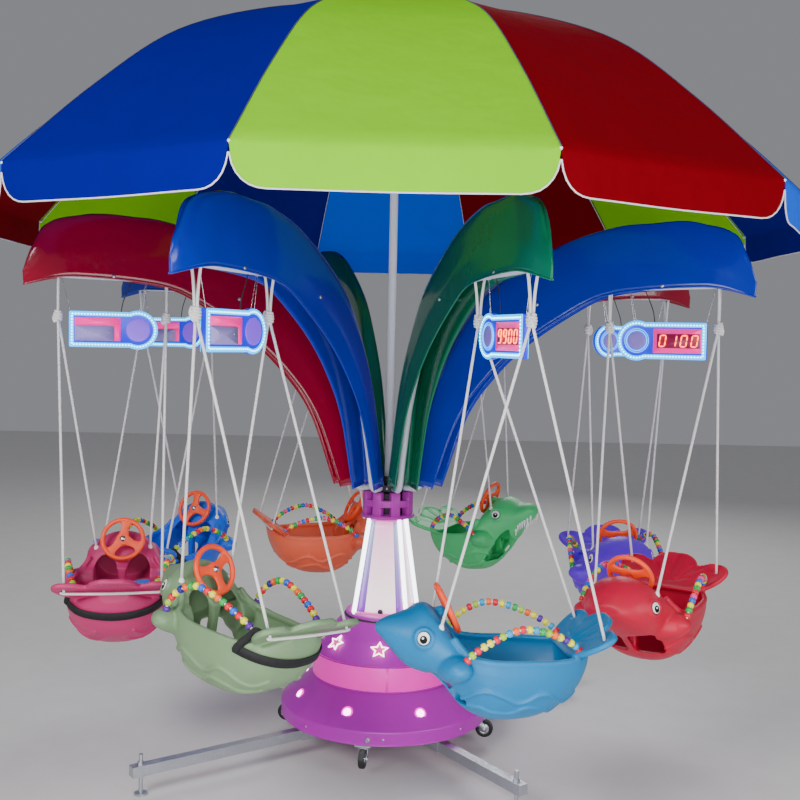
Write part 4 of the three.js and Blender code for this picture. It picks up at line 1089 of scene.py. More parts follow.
def on_hull(kind, forward, z, side=1, out=0.0):
    """The point of the hull's skin at a length and a height, and the way it faces."""
    table = sections_of(kind)
    step = 0.004
    ahead, behind = (hull_width(table, forward + d, z) for d in (step, -step))
    above, below = (hull_width(table, forward, z + d) for d in (step, -step))
    normal = unit(np.array([1.0, (ahead - behind) / (2 * step), -(above - below) / (2 * step)]))
    way = normal * np.array([side, 1, 1])
    return seat_point(forward, side * hull_width(table, forward, z), z) + way * out, way


print("kinds of seat:", list(KINDS))

# %% [markdown]
# The bowl is hollowed by a smaller bowl, and the legs go out through two arches under the head.

# %% Forms of one seat
def well_of(kind):
    k = KINDS[kind]
    rows = [r for r in BOWL[2:k["bowl_end"]] if r[0] < k["well_front"] * 1000 - 10]
    table = [[f + 6, keel + 13, wide + 2, 1100, half - 13] for f, keel, wide, top, half in rows]
    last = BOWL[k["bowl_end"] - 1]
    table.append([k["well_front"] * 1000, last[1] + 19, last[2] + 2, 1100, last[4] - 19])
    fine = smooth_line(np.array(table) / 1000, 6)
    first, end = fine[0].copy(), fine[-1].copy()
    for row, shift in ((first, -0.01), (end, 0.008)):
        row[0] += shift
        row[1] += 0.022
        row[4] -= 0.022
    return shell([hull_ring(row) for row in [first, *fine, end]])


def leg_arch(kind, side, start, end, top, slope):
    """One arched tunnel for a leg, of a length ahead of the bowl's front wall. Its roof can sink forward."""
    k = KINDS[kind]
    rows = []
    for ahead in (start, end):
        tall = top - slope * ahead - LEG_Z
        spring, half, foot = tall * 0.55, LEG_HALF, 0.01
        arch = [(-half, foot), (-half, spring)]
        arch += [(half * cos(t), spring + (tall - spring) * sin(t)) for t in np.linspace(pi, 0, 15)[1:-1]]
        arch += [(half, spring), (half, foot), (half - foot, 0), (foot - half, 0)]
        rows.append(np.array([seat_point(k["well_front"] + ahead, side * LEG_SIDE + x, LEG_Z + z) for x, z in arch]))
    return shell(rows)


def head_hollow(kind):
    """The dark room inside the head that the legs pass through; its wall is the mould's thickness."""
    k, wall = KINDS[kind], 0.014
    rows = [s for s in sections_of(kind) if 0.04 < s[0] - k["well_front"] < 0.16]
    return shell([hull_ring([f, keel + wall, widest, top - wall, half - wall], 28) for f, keel, widest, top,
                  half in rows])


FLUKE_ROOT, FLUKE_RISE, FLUKE_THICK, FLUKE_HOLE = (-0.225, 0.728), 0.59, 0.017, (-0.303, 0.175)


def fluke_z(forward):
    return FLUKE_ROOT[1] + (FLUKE_ROOT[0] - forward) * FLUKE_RISE


def fluke_shape():
    """A thick plate with three round lobes that rises backward. Its rim is rolled and thicker than its middle."""
    half = [(0.098, -0.03), (0.13, -0.022), (0.172, 0.006), (0.205, 0.046), (0.222, 0.088), (0.214, 0.118),
            (0.192, 0.131),
            (0.15, 0.134), (0.118, 0.122), (0.097, 0.114), (0.08, 0.142), (0.046, 0.166), (0.0, 0.172)]
    outline = half + [(-x, y) for x, y in reversed(half[:-1])]
    line = smooth_line([(x, y, 0) for x, y in outline], 5)[:, :2]
    middle = np.array([0.0, 0.05])
    tilt = math.atan(FLUKE_RISE)
    rings = []
    for share, height in ((0.0, 0.34), (0.5, 0.36), (0.8, 0.44), (0.9, 0.66), (0.955, 0.78), (0.99, 0.5), (1.0, 0.0),
                          (0.99, -0.42), (0.93, -0.5), (0.8, -0.42), (0.0, -0.36)):
        row = []
        for x, y in line:
            px, py = middle + (np.array([x, y]) - middle) * max(share, 0.02)
            up = height * FLUKE_THICK
            row.append((SEAT_RADIUS + px, -FLUKE_ROOT[0] + py * cos(tilt) - up * sin(tilt),
                        FLUKE_ROOT[1] + py * sin(tilt) + up * cos(tilt)))
        rings.append(np.array(row))
    return shell(rings)


def fin_shape(kind, side):
    """A short blunt fin that tapers outward to the seat's widest point."""
    centre, reach = KINDS[kind]["fin"]
    rows = []
    for across, f, z, long, tall in ((0.11, 0.002, 0.701, 0.06, 0.055), (0.15, 0.001, 0.704, 0.055, 0.049),
                                     (0.19, 0, 0.708, 0.047, 0.04), (reach - 0.022, -0.003, 0.711, 0.037, 0.029),
                                     (reach - 0.008, -0.005, 0.711, 0.025, 0.018),
                                     (reach - 0.001, -0.006, 0.711, 0.01, 0.008)):
        rows.append(np.array([seat_point(centre + f + long * cos(t), side * across, z + tall * sin(t))
                              for t in round_steps(20)]))
    return shell(rows)


def rim_lip(kind, side):
    """The rolled lip that runs along the bowl's edge into the head."""
    table = sections_of(kind)
    line = []
    for f, keel, wide, top, half in table[::2]:
        if -0.225 < f < KINDS[kind]["well_front"] + 0.05:
            rise = max(0.0, f - KINDS[kind]["well_front"]) * 0.55
            line.append(seat_point(f, side * (half - 0.009 - rise), (wide + top) / 2 - 0.002 + rise))
    return pipe(line, 0.0115, 10)


def boss_shape(kind):
    forward, z = KINDS[kind]["wheel"]
    lean = radians(WHEEL_LEAN)
    ends = [seat_point(forward - d * cos(lean), 0, z + d * sin(lean)) for d in (-0.066, -0.034, -0.0105)]
    return pipe(ends, [0.026, 0.02, 0.015], 16, round_ends=False)


def two_ways_across(way):
    """Two directions square to a given one and to each other."""
    a = unit(np.cross(way, [0, 0, 1.0]))
    return a, np.cross(way, a)


def eye_ring(kind, side):
    forward, z = KINDS[kind]["eye"]
    centre, way = on_hull(kind, forward, z, side)
    a, b = two_ways_across(way)
    line = [centre + 0.03 * (cos(t) * a + sin(t) * b) for t in np.linspace(0, 2 * pi, 25)]
    return pipe(line, 0.0055, 8)


def solid_object(name, shape):
    return make_piece(name, *shape, white_plastic)


def carve(target, cutter):
    cut = target.modifiers.new("cut", "BOOLEAN")
    cut.operation, cut.object, cut.solver = "DIFFERENCE", cutter, "MANIFOLD"
    settle(target)
    bpy.data.objects.remove(cutter)


def settle(obj):
    """Applies the modifiers and keeps a plain mesh."""
    done = bpy.data.meshes.new_from_object(obj.evaluated_get(bpy.context.evaluated_depsgraph_get()))
    obj.modifiers.clear()
    obj.data = done


print("forms ready")

# %% [markdown]
# The forms become one skin here. The remesh size is the smallest radius that shows, and smoothing after it removes the
# steps. A relief line on the hull is pushed out of the finished skin, so it stays crisp.

# %% One skin from the forms
WAVES = [[(0.156, 0.598), (0.142, 0.609), (0.119, 0.625), (0.093, 0.634), (0.067, 0.634), (0.036, 0.622),
          (0.007, 0.605),
          (-0.016, 0.594), (-0.038, 0.593), (-0.059, 0.6), (-0.075, 0.61), (-0.091, 0.616), (-0.115, 0.615),
          (-0.138, 0.603),
          (-0.158, 0.584), (-0.18, 0.573), (-0.205, 0.581), (-0.226, 0.594)],
         [(0.14, 0.587), (0.124, 0.58), (0.094, 0.577), (0.067, 0.563), (0.04, 0.557), (0.012, 0.554),
          (-0.015, 0.558),
          (-0.035, 0.569), (-0.062, 0.573), (-0.092, 0.565), (-0.112, 0.557), (-0.131, 0.543), (-0.155, 0.543),
          (-0.18, 0.552)]]
VOXEL = 0.0048


def one_skin(obj, voxel, easing, kept, relief=None):
    """Joins an object's forms into one smoothed skin, works the relief of a seat into it, and thins its mesh."""
    skin = obj.modifiers.new("skin", "REMESH")
    skin.mode, skin.voxel_size = "VOXEL", voxel
    ease = obj.modifiers.new("ease", "SMOOTH")
    ease.factor, ease.iterations = 0.5, easing
    settle(obj)
    if relief:
        emboss(obj.data, relief)
    obj.modifiers.new("thin", "DECIMATE").ratio = kept
    settle(obj)
    mesh = obj.data
    bpy.data.objects.remove(obj)
    smooth_faces(mesh)
    return mesh


def seat_skin(kind):
    hull = solid_object(kind + "_hull", shell([hull_ring(s) for s in sections_of(kind)]))
    carve(hull, solid_object(kind + "_well", well_of(kind)))
    for side in (-1, 1):
        carve(hull, solid_object(kind + "_arch", leg_arch(kind, side, -0.045, 0.06, LEG_TOP + 0.02, 0.1)))
        carve(hull, solid_object(kind + "_exit", leg_arch(kind, side, 0.03, 0.2, LEG_TOP, KINDS[kind]["slope"])))
    carve(hull, solid_object(kind + "_hollow", head_hollow(kind)))
    fluke = solid_object(kind + "_fluke", fluke_shape())
    for side in (-1, 1):
        at = seat_point(FLUKE_HOLE[0], side * FLUKE_HOLE[1], fluke_z(FLUKE_HOLE[0]))
        square = np.array([0, -FLUKE_RISE, 1]) * 0.026
        carve(fluke, solid_object("hole", pipe([at - square, at, at + square], 0.0085, 12, False)))
    extra = together(*(fin_shape(kind, s) for s in (-1, 1)), *(rim_lip(kind, s) for s in (-1, 1)), boss_shape(kind),
                     *(eye_ring(kind, s) for s in (-1, 1)))
    more = solid_object(kind + "_more", extra)
    points, faces, start = [], [], 0
    for part_object in (hull, fluke, more):
        m = part_object.data
        points += [tuple(v.co) for v in m.vertices]
        faces += [[start + i for i in p.vertices] for p in m.polygons]
        start += len(m.vertices)
        bpy.data.objects.remove(part_object)
    name = kind + "_skin"
    return one_skin(set_down(name, new_mesh(name, points, faces)), VOXEL, 5, 0.36, kind)


def near_line(points, line):
    """Distance of every point to a polyline."""
    best = np.full(len(points), 9.0)
    for a, b in zip(line[:-1], line[1:]):
        way = b - a
        t = np.clip((points - a) @ way / way.dot(way), 0, 1)
        best = np.minimum(best, np.linalg.norm(points - (a + t[:, None] * way), axis=1))
    return best


def emboss(mesh, kind):
    """Pushes relief lines out of the hull and grooves into the fluke."""
    count = len(mesh.vertices)
    points, normals = np.empty(count * 3), np.empty(count * 3)
    mesh.vertices.foreach_get("co", points)
    mesh.vertices.foreach_get("normal", normals)
    points, normals = points.reshape(-1, 3), normals.reshape(-1, 3)
    push = np.zeros(count)
    shift = KINDS[kind]["well_front"] - 0.122
    for wave in WAVES:
        line = smooth_line([(f + shift * 0.3, z, 0) for f, z in wave], 5)
        for side in (-1, 1):
            path = np.array([on_hull(kind, f, z, side)[0] for f, z, _ in line])
            push = np.maximum(push, 0.0068 * np.exp(-(near_line(points, path) / 0.0066) ** 4))
    tilt = math.atan(FLUKE_RISE)
    for x, y in ((0.0, 0.16), (0.04, 0.152), (-0.04, 0.152), (0.086, 0.112), (-0.086, 0.112), (0.15, 0.116),
                 (-0.15, 0.116)):
        far = np.array([SEAT_RADIUS + x, -FLUKE_ROOT[0] + y * cos(tilt), FLUKE_ROOT[1] + y * sin(tilt) + 0.006])
        near = np.array([SEAT_RADIUS + x * 0.42, -FLUKE_ROOT[0] + 0.024, FLUKE_ROOT[1] + 0.018])
        deep = 0.0034 if abs(x) in (0.0, 0.086) else -0.0018
        push -= deep * np.exp(-(near_line(points, np.array([near, far])) / 0.008) ** 2) * (normals[:, 2] > 0.2)
    crease = np.array([seat_point(f, s, z)
                       for f, s, z in ((-0.259, -0.08, 0.752), (-0.238, 0, 0.738), (-0.259, 0.08, 0.752))])
    push -= 0.004 * np.exp(-(near_line(points, crease) / 0.007) ** 2) * (normals[:, 2] > 0.2)
    points = points + normals * push[:, None]
    mesh.vertices.foreach_set("co", points.ravel())
    mesh.update()


skins = {kind: seat_skin(kind) for kind in KINDS}
print("skins:", {kind: len(m.polygons) for kind, m in skins.items()})

# %% [markdown]
# Eight seats, each in its own colour of moulded plastic with a fine pebbled skin.

# %% The eight seats
def placed_copy(name, mesh, turn, material):
    """A copy of a finished skin at its own place, in its own finish."""
    mesh = mesh.copy()
    mesh.transform(turn)
    mesh.materials.clear()
    mesh.materials.append(material)
    return set_down(name, mesh)


for i, (kind, colour) in enumerate(SEATS):
    shell_finish = finish(f"seat_plastic_{i + 1}", colour, 0.42, skin=(900.0, 0.6), tone=0.08, dust=0.01,
                          rubbing=0.06,
                          Coat_Weight=0.08, Coat_Roughness=0.3, Specular_IOR_Level=0.35)
    obj = placed_copy(f"animal_seat_{i + 1}", skins[kind], seat_turn(i), shell_finish)
    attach(obj, f"swing_{i + 1}")
    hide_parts(f"seat_{i + 1}")
print("seats made:", len(SEATS))

# %% [markdown]
# The eyes are printed discs let into the moulded ring: white, with a black edge and a black pupil. A small white disc
# on each pupil is a painted highlight. Teeth show only on the crocodile.

# %% Eyes and teeth
eye_white = finish("eye_white", "#f6f6f4", 0.2, skin=(300.0, 0.05), dust=0.0)
eye_black = finish("eye_black", "#050507", 0.5, skin=(300.0, 0.05), dust=0.0, Specular_IOR_Level=0.2)


def disc_on(kind, side, forward, z, radius, out, height):
    """A low round button on the hull's skin."""
    centre, way = on_hull(kind, forward, z, side, out)
    a, b = two_ways_across(way)
    rows = []
    for share, h in ((1.0, -0.006), (1.0, 0.0), (0.96, 0.3), (0.8, 0.75), (0.5, 0.95), (0.2, 1.0)):
        rows.append(np.array([centre + way * height * h + radius * share * (cos(t) * a + sin(t) * b)
                              for t in round_steps(24)]))
    rows[0] = rows[1] - way * 0.006
    return shell(rows)


for i, (kind, colour) in enumerate(SEATS):
    forward, z = KINDS[kind]["eye"]
    # The small white disc on each pupil is a painted highlight.
    parts = {"eye_rims": (eye_black, [(0, 0, 0.0232, 0.0005)]),
             "eye_whites": (eye_white, [(0, 0, 0.0205, 0.0018)]),
             "pupils": (eye_black, [(0.000, -0.004, 0.0128, 0.004)]),
             "eye_sparks": (eye_white, [(0.001, 0.000, 0.0038, 0.0064)])}
    for name, (material, discs) in parts.items():
        shapes = [disc_on(kind, s, forward + df, z + dz, r, out, 0.0022) for s in (-1, 1) for df, dz, r, out in discs]
        make_piece(f"{name}_{i + 1}", *together(*shapes), material, f"swing_{i + 1}", seat_turn(i))
    if kind == "crocodile":
        teeth, table = [], sections_of(kind)
        for s in (-1, 1):
            for step in range(7):
                f = 0.3 - step * 0.0125
                low = np.interp(f, table[:, 0], table[:, 1])
                at = seat_point(f, s * min(0.062, 0.8 * np.interp(f, table[:, 0], table[:, 4])), low + 0.01)
                tip = at + np.array([s * 0.003, 0, -0.026])
                teeth.append(pipe([at + [0, 0, 0.006], at, (at + tip) / 2, tip], [0.0065, 0.0062, 0.004, 0.001], 8))
        make_piece(f"teeth_{i + 1}", *together(*teeth), eye_white, f"swing_{i + 1}", seat_turn(i))
print("eyes on", len(SEATS), "seats")

# %% [markdown]
# ## Steering wheels
# A child's moulded wheel: a thick round rim, three broad spokes that widen at both ends, and a bolt in the middle. Its
# forms are joined by the same remesh, once, and the result is placed eight times.

# %% Steering wheels
WHEEL_TURNS = [64, 20, 0, 0, 0, 0, 0, 75]


def wheel_skin():
    ring = pipe([(0.0815 * cos(t), 0.0815 * sin(t), 0) for t in np.linspace(0, 2 * pi, 49)], 0.0096, 12, False)
    spokes = []
    for turn in (90, 197, 343):
        rows = []
        for along, wide, thick in ((0.01, 0.024, 0.0074), (0.024, 0.02, 0.007), (0.04, 0.016, 0.0066),
                                   (0.056, 0.0165, 0.0066),
                                   (0.07, 0.024, 0.0068), (0.081, 0.032, 0.0056)):
            row = []
            for t in round_steps(16):
                u, v = wide * cos(t), thick * math.copysign(abs(sin(t)) ** 0.5, sin(t))
                a = radians(turn)
                row.append((along * cos(a) - u * sin(a), along * sin(a) + u * cos(a), v))
            rows.append(row)
        spokes.append(shell(rows))
    hub = turned_shape(rounded([(0.0078, -0.008), (0.026, -0.008), (0.029, 0.0), (0.024, 0.008), (0.0078, 0.008)],
                               0.003), 24)
    return one_skin(make_piece("wheel_skin", *together(ring, *spokes, hub), white_plastic), 0.0022, 4, 0.4)


wheel_orange = finish("wheel_plastic", "#ff4d17", 0.36, skin=(1200.0, 0.9), tone=0.06, dust=0.04)
wheel_mesh = wheel_skin()


def wheel_place(kind):
    forward, z = KINDS[kind]["wheel"]
    at = seat_point(forward, 0, z)
    return Matrix.Translation(tuple(at)) @ Matrix.Rotation(radians(90 + WHEEL_LEAN - 180), 4, "X")


shaft = pipe([(0, 0, -0.012), (0, 0, 0.0), (0, 0, 0.0095)], 0.0062, 12, False)
flange = pipe([(0, 0, 0.0088), (0, 0, 0.01), (0, 0, 0.0112)], 0.0118, 20, False)
cap = moved(dome(0.0085, 0.0036, 16, 4, 0.001), 0, 0, 0.0112, (1, 2, 0))
for i, (kind, colour) in enumerate(SEATS):
    turned = Matrix.Rotation(radians(WHEEL_TURNS[i]), 4, "Z")
    obj = placed_copy(f"wheel_{i + 1}", wheel_mesh, seat_turn(i) @ wheel_place(kind) @ turned, wheel_orange)
    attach(obj, f"wheel_{i + 1}")
    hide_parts(f"steering_wheel_{i + 1}")
    make_piece(f"wheel_bolt_{i + 1}", *together(shaft, flange, cap), chrome, f"swing_{i + 1}",
               seat_turn(i) @ wheel_place(kind))
print("wheel faces:", len(wheel_mesh.polygons))

# %% [markdown]
# ## Ropes and knots
# Every seat hangs on two ropes. Each rope is doubled over the arm tube, tied in a fat knot, and then runs as two legs to
# the seat's neck and to its fluke. The rear legs pass through the fluke and meet in one run under it. A rope is a pipe
# along a smooth line. The knot is the same rope wound three times round itself.

# %% Ropes of one seat
rope_white = finish("rope_braid", "#dedadb", 0.8, skin=(1400.0, 1.2), tone=0.1, dust=0.08, rubbing=0.0)
ROPE, KNOT_Z, ARM_TUBE = 0.0051, 1.792, 0.0137
LOOP = ARM_TUBE + ROPE + 0.0012


def rested(i, point):
    """A point of a straight and level seat where this seat has it."""
    return np.array(rest_move(i) @ Vector(point))


def knot_lines(x):
    """Four turns round the strands, and one strand that crosses over them."""
    turns, crossing = [], []
    for t in np.linspace(0, 1, 60):
        angle = 2 * pi * 4.2 * t
        reach = 0.0102 + 0.0034 * sin(pi * t)
        turns.append((x + reach * cos(angle), reach * sin(angle), KNOT_Z + 0.019 - 0.038 * t))
    for t in np.linspace(0, 1, 12):
        angle = -1.3 + 1.5 * t
        reach = 0.0135 + 0.004 * sin(pi * t)
        crossing.append((x + reach * cos(angle), reach * sin(angle), KNOT_Z + 0.021 - 0.042 * t))
    return turns, crossing


def rope_set(i, kind):
    forward, z = KINDS[kind]["eyelet"]
    pieces, collars, feet = [], [], []
    for side, hang in ((-1, ROPE_INNER), (1, ROPE_OUTER)):
        top = hang_z(hang)
        over = [(hang, LOOP * cos(t), top + LOOP * sin(t)) for t in np.linspace(pi, 0, 15)]
        rise = [(hang, -0.0052 - (LOOP - 0.0052) * t ** 2.2, KNOT_Z + (top - KNOT_Z) * t)
                for t in np.linspace(0, 0.94, 10)]
        fall = [(x, -y, height) for x, y, height in reversed(rise)]
        pieces.append(pipe([*rise, *over, *fall], ROPE, 8))
        pieces += [pipe(line, 0.0052, 8) for line in knot_lines(hang)]
        knot = np.array([hang, 0, KNOT_Z])
        neck = rested(i, on_hull(kind, forward + 0.006, z - 0.016, side, -0.01)[0])
        pieces.append(pipe(np.linspace(knot, neck, 10), ROPE, 8))
        hole = rested(i, seat_point(FLUKE_HOLE[0], side * FLUKE_HOLE[1], fluke_z(FLUKE_HOLE[0])))
        feet.append(hole + (hole - knot) / (KNOT_Z - hole[2]) * 0.0165)
        pieces.append(pipe(np.linspace(knot, feet[-1], 10), ROPE, 8))
        to_knot = unit(knot - neck)
        collars.append(pipe([neck + to_knot * d for d in (-0.004, 0.01, 0.014)], [0.011, 0.0108, 0.008], 14))
    away = unit(feet[1] - feet[0])
    under = [feet[0] * (1 - t) + feet[1] * t - np.array([0, 0, 0.003 * sin(pi * t)]) for t in np.linspace(0, 1, 13)]
    under = [feet[0] - away * 0.01 + [0, 0, 0.003], *under, feet[1] + away * 0.01 + [0, 0, 0.003]]
    pieces.append(pipe(smooth_line(under, 2), ROPE, 8))
    return together(*pieces), together(*collars)


for i, (kind, colour) in enumerate(SEATS):
    ropes, collars = rope_set(i, kind)
    piece = make_piece(f"rope_{i + 1}", *ropes, rope_white, f"swing_{i + 1}", arm_turn(i))
    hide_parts(f"ropes_{i + 1}")
    make_piece(f"rope_collars_{i + 1}", *collars, white_plastic, f"swing_{i + 1}", arm_turn(i))
print("rope faces a seat:", len(ropes[1]))

# %% [markdown]
# ## Beads on the hand rails
# Plastic beads of several shapes and colours are threaded on each hand rail. They follow a line, so Geometry Nodes sets
# one bead on each point of it. The points carry the bead's colour, shape and turn as attributes, and the finish reads the
# colour from there.

# %% Bead tree
def bead_tree():
    tree, inside, out = new_tree("Threaded beads", {"Size": 0.0125, "Material": "Material"})
    size = inside.outputs["Size"]
    shapes = add_node(tree, "GeometryNodeGeometryToInstance")
    forms = []
    for sides, rings, tall in ((16, 10, 0.64), (8, 8, 0.68), (12, 10, 0.6)):
        ball = add_node(tree, "GeometryNodeMeshUVSphere", Segments=sides, Rings=rings, Radius=size)
        place = add_node(tree, "GeometryNodeInputPosition").outputs[0]
        apart = add_node(tree, "ShaderNodeSeparateXYZ", Vector=place).outputs
        top, foot = (math_node(tree, "MULTIPLY", size, share) for share in (tall, -tall))
        level = add_node(tree, "ShaderNodeClamp", Value=apart["Z"], Min=foot, Max=top).outputs[0]
        joint = add_node(tree, "ShaderNodeCombineXYZ", X=apart["X"], Y=apart["Y"], Z=level).outputs[0]
        forms.append(add_node(tree, "GeometryNodeSetPosition", Geometry=ball.outputs[0], Position=joint))
    for form in reversed(forms):
        tree.links.new(form.outputs[0], shapes.inputs[0])
    shape, turn = (add_node(tree, "GeometryNodeInputNamedAttribute", {"data_type": kind},
                            Name=name).outputs["Attribute"]
                   for name, kind in (("bead_shape", "INT"), ("bead_turn", "FLOAT_VECTOR")))
    copies = add_node(tree, "GeometryNodeInstanceOnPoints", Points=inside.outputs["Geometry"],
                      Instance=shapes.outputs[0], Pick_Instance=True, Instance_Index=shape, Rotation=turn)
    end_tree(tree, copies.outputs[0], inside, out, smooth=True)
    return tree


def bead_finish():
    material = finish("bead_plastic", "#ffffff", 0.25, skin=(500.0, 0.1), dust=0.0)
    colour = add_node(material.node_tree, "ShaderNodeAttribute", {"attribute_name": "bead_colour"})
    recolour(material, colour.outputs["Color"])
    return material


BEAD_TREE, bead_plastic = bead_tree(), bead_finish()
BEADS_A_RAIL = 19
BEAD = {"r": "#e3182f", "l": "#a9cf1e", "y": "#f4ea1f", "c": "#0f9fd2", "o": "#ff6a21", "g": "#12b04a",
        "p": "#5a1f9c",
        "n": "#25258c", "k": "#f0478f", "b": "#1a66dd"}
ORDERS = ["yrlbygrkylcrygobrly", "plrynogybryogrbrypo", "rlryyrlcorycgloypyc", "rgybkrgybkrgybkrgyb",
          "gyrbkygrbykgrybkgry",
          "rgbykrgybrkgybrgykb", "brgykbgyrkbgyrbkgyr", "ylrcgyrbylorygcrbly"]
# share of the way back, side and height
RAIL_ARCH = [(0.0, 0.204, 0.726), (0.1, 0.205, 0.764), (0.24, 0.203, 0.795), (0.38, 0.199, 0.818),
             (0.51, 0.194, 0.828),
             (0.67, 0.183, 0.815), (0.82, 0.168, 0.79), (0.935, 0.15, 0.76), (1.0, 0.134, 0.728)]
RAIL_FRONT, RAIL_REAR = -0.012, -0.238
RAIL_BENDS = {(1, -1): 1.6, (1, 1): 1.6, (2, -1): 1.35}


def rail_points(number, side):
    """A hand rail's line from the fin over the bowl to the root of the fluke. Some rails are bent forward."""
    start = KINDS[SEATS[number][0]]["fin"][0] + RAIL_FRONT
    bend = RAIL_BENDS.get((number, side), 1.0)
    return smooth_line([seat_point(start + (RAIL_REAR - start) * share ** bend, side * s,
                                   z + 0.035 * (bend - 1) * sin(pi * share)) for share, s, z in RAIL_ARCH], 8)


def along(line, step, start, end):
    lengths = lengths_along(line)
    at = np.arange(start, lengths[-1] - end, step)
    return np.array([[np.interp(a, lengths, line[:, c]) for c in range(3)] for a in at])


def bead_points(name, number):
    """The points of both rails of one seat, with their attributes."""
    places, turns, shapes, colours = [], [], [], []
    for side in (-1, 1):
        line = rail_points(number, side)
        whole = np.linalg.norm(np.diff(line, axis=0), axis=1).sum()
        points = along(line, (whole - 0.04) / BEADS_A_RAIL, 0.022, 0.008)
        order = ORDERS[number]
        for k, p in enumerate(points):
            way = Vector(points[min(k + 1, len(points) - 1)] - points[max(k - 1, 0)])
            places.append(tuple(p))
            turns.append(tuple(way.to_track_quat("Z", "X").to_euler()))
            shapes.append((k * 7 + number * 3 + (side > 0)) % 5 % 3)
            colours.append(linear(BEAD[order[k % len(order)]]))
    mesh = new_mesh(name, places)
    for label, kind_of, values in (("bead_turn", "FLOAT_VECTOR", turns), ("bead_shape", "INT", shapes),
                                   ("bead_colour", "FLOAT_COLOR", colours)):
        attribute = mesh.attributes.new(label, kind_of, "POINT")
        key = {"FLOAT_VECTOR": "vector", "INT": "value", "FLOAT_COLOR": "color"}[kind_of]
        attribute.data.foreach_set(key, np.array(values).ravel())
    return set_down(name, mesh)


elastic = finish("rail_cord", "#f2efe9", 0.6, skin=(900.0, 0.6))
for i, (kind, colour) in enumerate(SEATS):
    seeds = bead_points(f"bead_seeds_{i + 1}", i)
    count = len(seeds.data.vertices)
    grow(BEAD_TREE, f"beads_{i + 1}", {"Size": 0.013, "Material": bead_plastic}, f"swing_{i + 1}", seeds,
         seat_turn(i))
    cords = [pipe(rail_points(i, side)[::3], 0.0045, 8) for side in (-1, 1)]
    make_piece(f"rail_cords_{i + 1}", *together(*cords), elastic, f"swing_{i + 1}", seat_turn(i))
print("beads a seat:", count)

# %% [markdown]
# ## Belts round the stern
# Some of the seats have a black webbing belt round the stern. It hangs from black sleeves at the rear ends of the rails
# and sinks to the middle. It follows the hull a few millimetres outside it, so it is laid along the hull's own outline
# at each height.

# %% Belts
belt_black = finish("belt_webbing", "#101014", 0.8, skin=(1300.0, 1.2), dust=0.05)


def stern_line(kind, z):
    """The hull's outline round the stern at a height, from one side to the other: (side, forward) points."""
    table = sections_of(kind)
    line = []
    for f in np.linspace(-0.16, -0.2875, 40):
        if z <= np.interp(f, table[:, 0], table[:, 1]):
            break
        line.append((hull_width(table, f, z), f))
    line.append((0.0, line[-1][1] - 0.0005))
    line = np.array(line)
    return np.vstack([line * [-1, 1], line[::-1][1:]])


BELTED, BELT_HALF, BELT_NEAR, BELT_FAR = (0, 1, 7), 0.0155, 0.003, 0.007


def belt_of(kind):
    rows = []
    for share in np.linspace(-1, 1, 45):
        middle = 0.657 + 0.043 * abs(share) ** 1.7
        row = []
        for z, out in ((middle - BELT_HALF, BELT_NEAR), (middle - BELT_HALF, BELT_FAR),
                       (middle + BELT_HALF, BELT_FAR),
                       (middle + BELT_HALF, BELT_NEAR)):
            line = stern_line(kind, min(z, 0.7115))
            length = lengths_along(line)
            at = (share + 1) / 2 * length[-1]
            x, f = (np.interp(at, length, line[:, c]) for c in (0, 1))
            ahead, back = ([np.interp(at + d, length, line[:, c]) for c in (0, 1)] for d in (0.005, -0.005))
            way = np.array([ahead[1] - back[1], back[0] - ahead[0]])
            way /= np.linalg.norm(way) + 1e-9
            if way @ np.array([x, f + 0.15]) < 0:
                way = -way
            row.append(seat_point(f + way[1] * out, x + way[0] * out, z))
        rows.append(np.array(row))
    return shell(rows)


def sleeve_of(side):
    """A sleeve from the belt's end up round the rear end of a rail."""
    line = [(-0.172, 0.178, 0.696), (-0.186, 0.172, 0.716), (-0.205, 0.16, 0.74), (-0.222, 0.152, 0.76),
            (-0.246, 0.15, 0.752)]
    return pipe(smooth_line([seat_point(f, side * s, z) for f, s, z in line], 4), 0.0135, 12)


belt_shape = together(belt_of("dolphin"), sleeve_of(-1), sleeve_of(1))
for i in BELTED:
    make_piece(f"stern_belt_{i + 1}", *belt_shape, belt_black, f"swing_{i + 1}", seat_turn(i))
print("belts:", len(BELTED))

# %% [markdown]
# ## Lit signs
# A flat lit box hangs under each arm. It is round at its inner end. A chain of small lamps runs round its border, a round
# speaker grille sits in the round end, and a window shows four plain numbers of seven strokes each. The back has the same
# border and a plain plate. The numbers are generic and nothing else is written.

# %% Sign body
SIGN_INNER, SIGN_OUTER, SIGN_HALF, SIGN_DISC, SIGN_Z, SIGN_THICK = 0.978, 1.315, 0.07, 0.077, 1.744, 0.026
sign_blue = lit("sign_blue", "#0414e0", 0.7)
sign_rim = lit("sign_rim", "#00b4ff", 1.9)
lamp_cyan = lit("sign_lamps", "#7ff4ff", 7.0)
sign_disc = finish("speaker_disc", "#8c74d8", 0.45, skin=(900.0, 0.6), dust=0.0)
sign_lilac = lit("sign_lilac", "#7a3ce0", 0.7)
window_red = lit("window_magenta", "#f00088", 1.0)
digit_red = lit("digit_light", "#ff5a24", 7.0)
plate_grey = finish("back_plate", "#9d8bd0", 0.4, skin=(700.0, 0.4), dust=0.0)
window_dark = lit("window_dark", "#7a0d3c", 0.6)


def sign_outline(inset):
    """The sign's outline in (outward, up), with small round outer corners."""
    half, radius = SIGN_HALF - inset, SIGN_DISC - inset
    neck = math.asin(half / radius)
    line = [(SIGN_INNER + SIGN_DISC + radius * cos(t), radius * sin(t))
            for t in np.linspace(neck, 2 * pi - neck, 26)]
    corner = max(0.002, 0.006 - inset)
    far = SIGN_OUTER - inset
    for cx, cy, first in ((far - corner, -half + corner, -pi / 2), (far - corner, half - corner, 0.0)):
        line += [(cx + corner * cos(first + t), cy + corner * sin(first + t))
                 for t in np.linspace(0, pi / 2, 4)]
    return np.array(line)


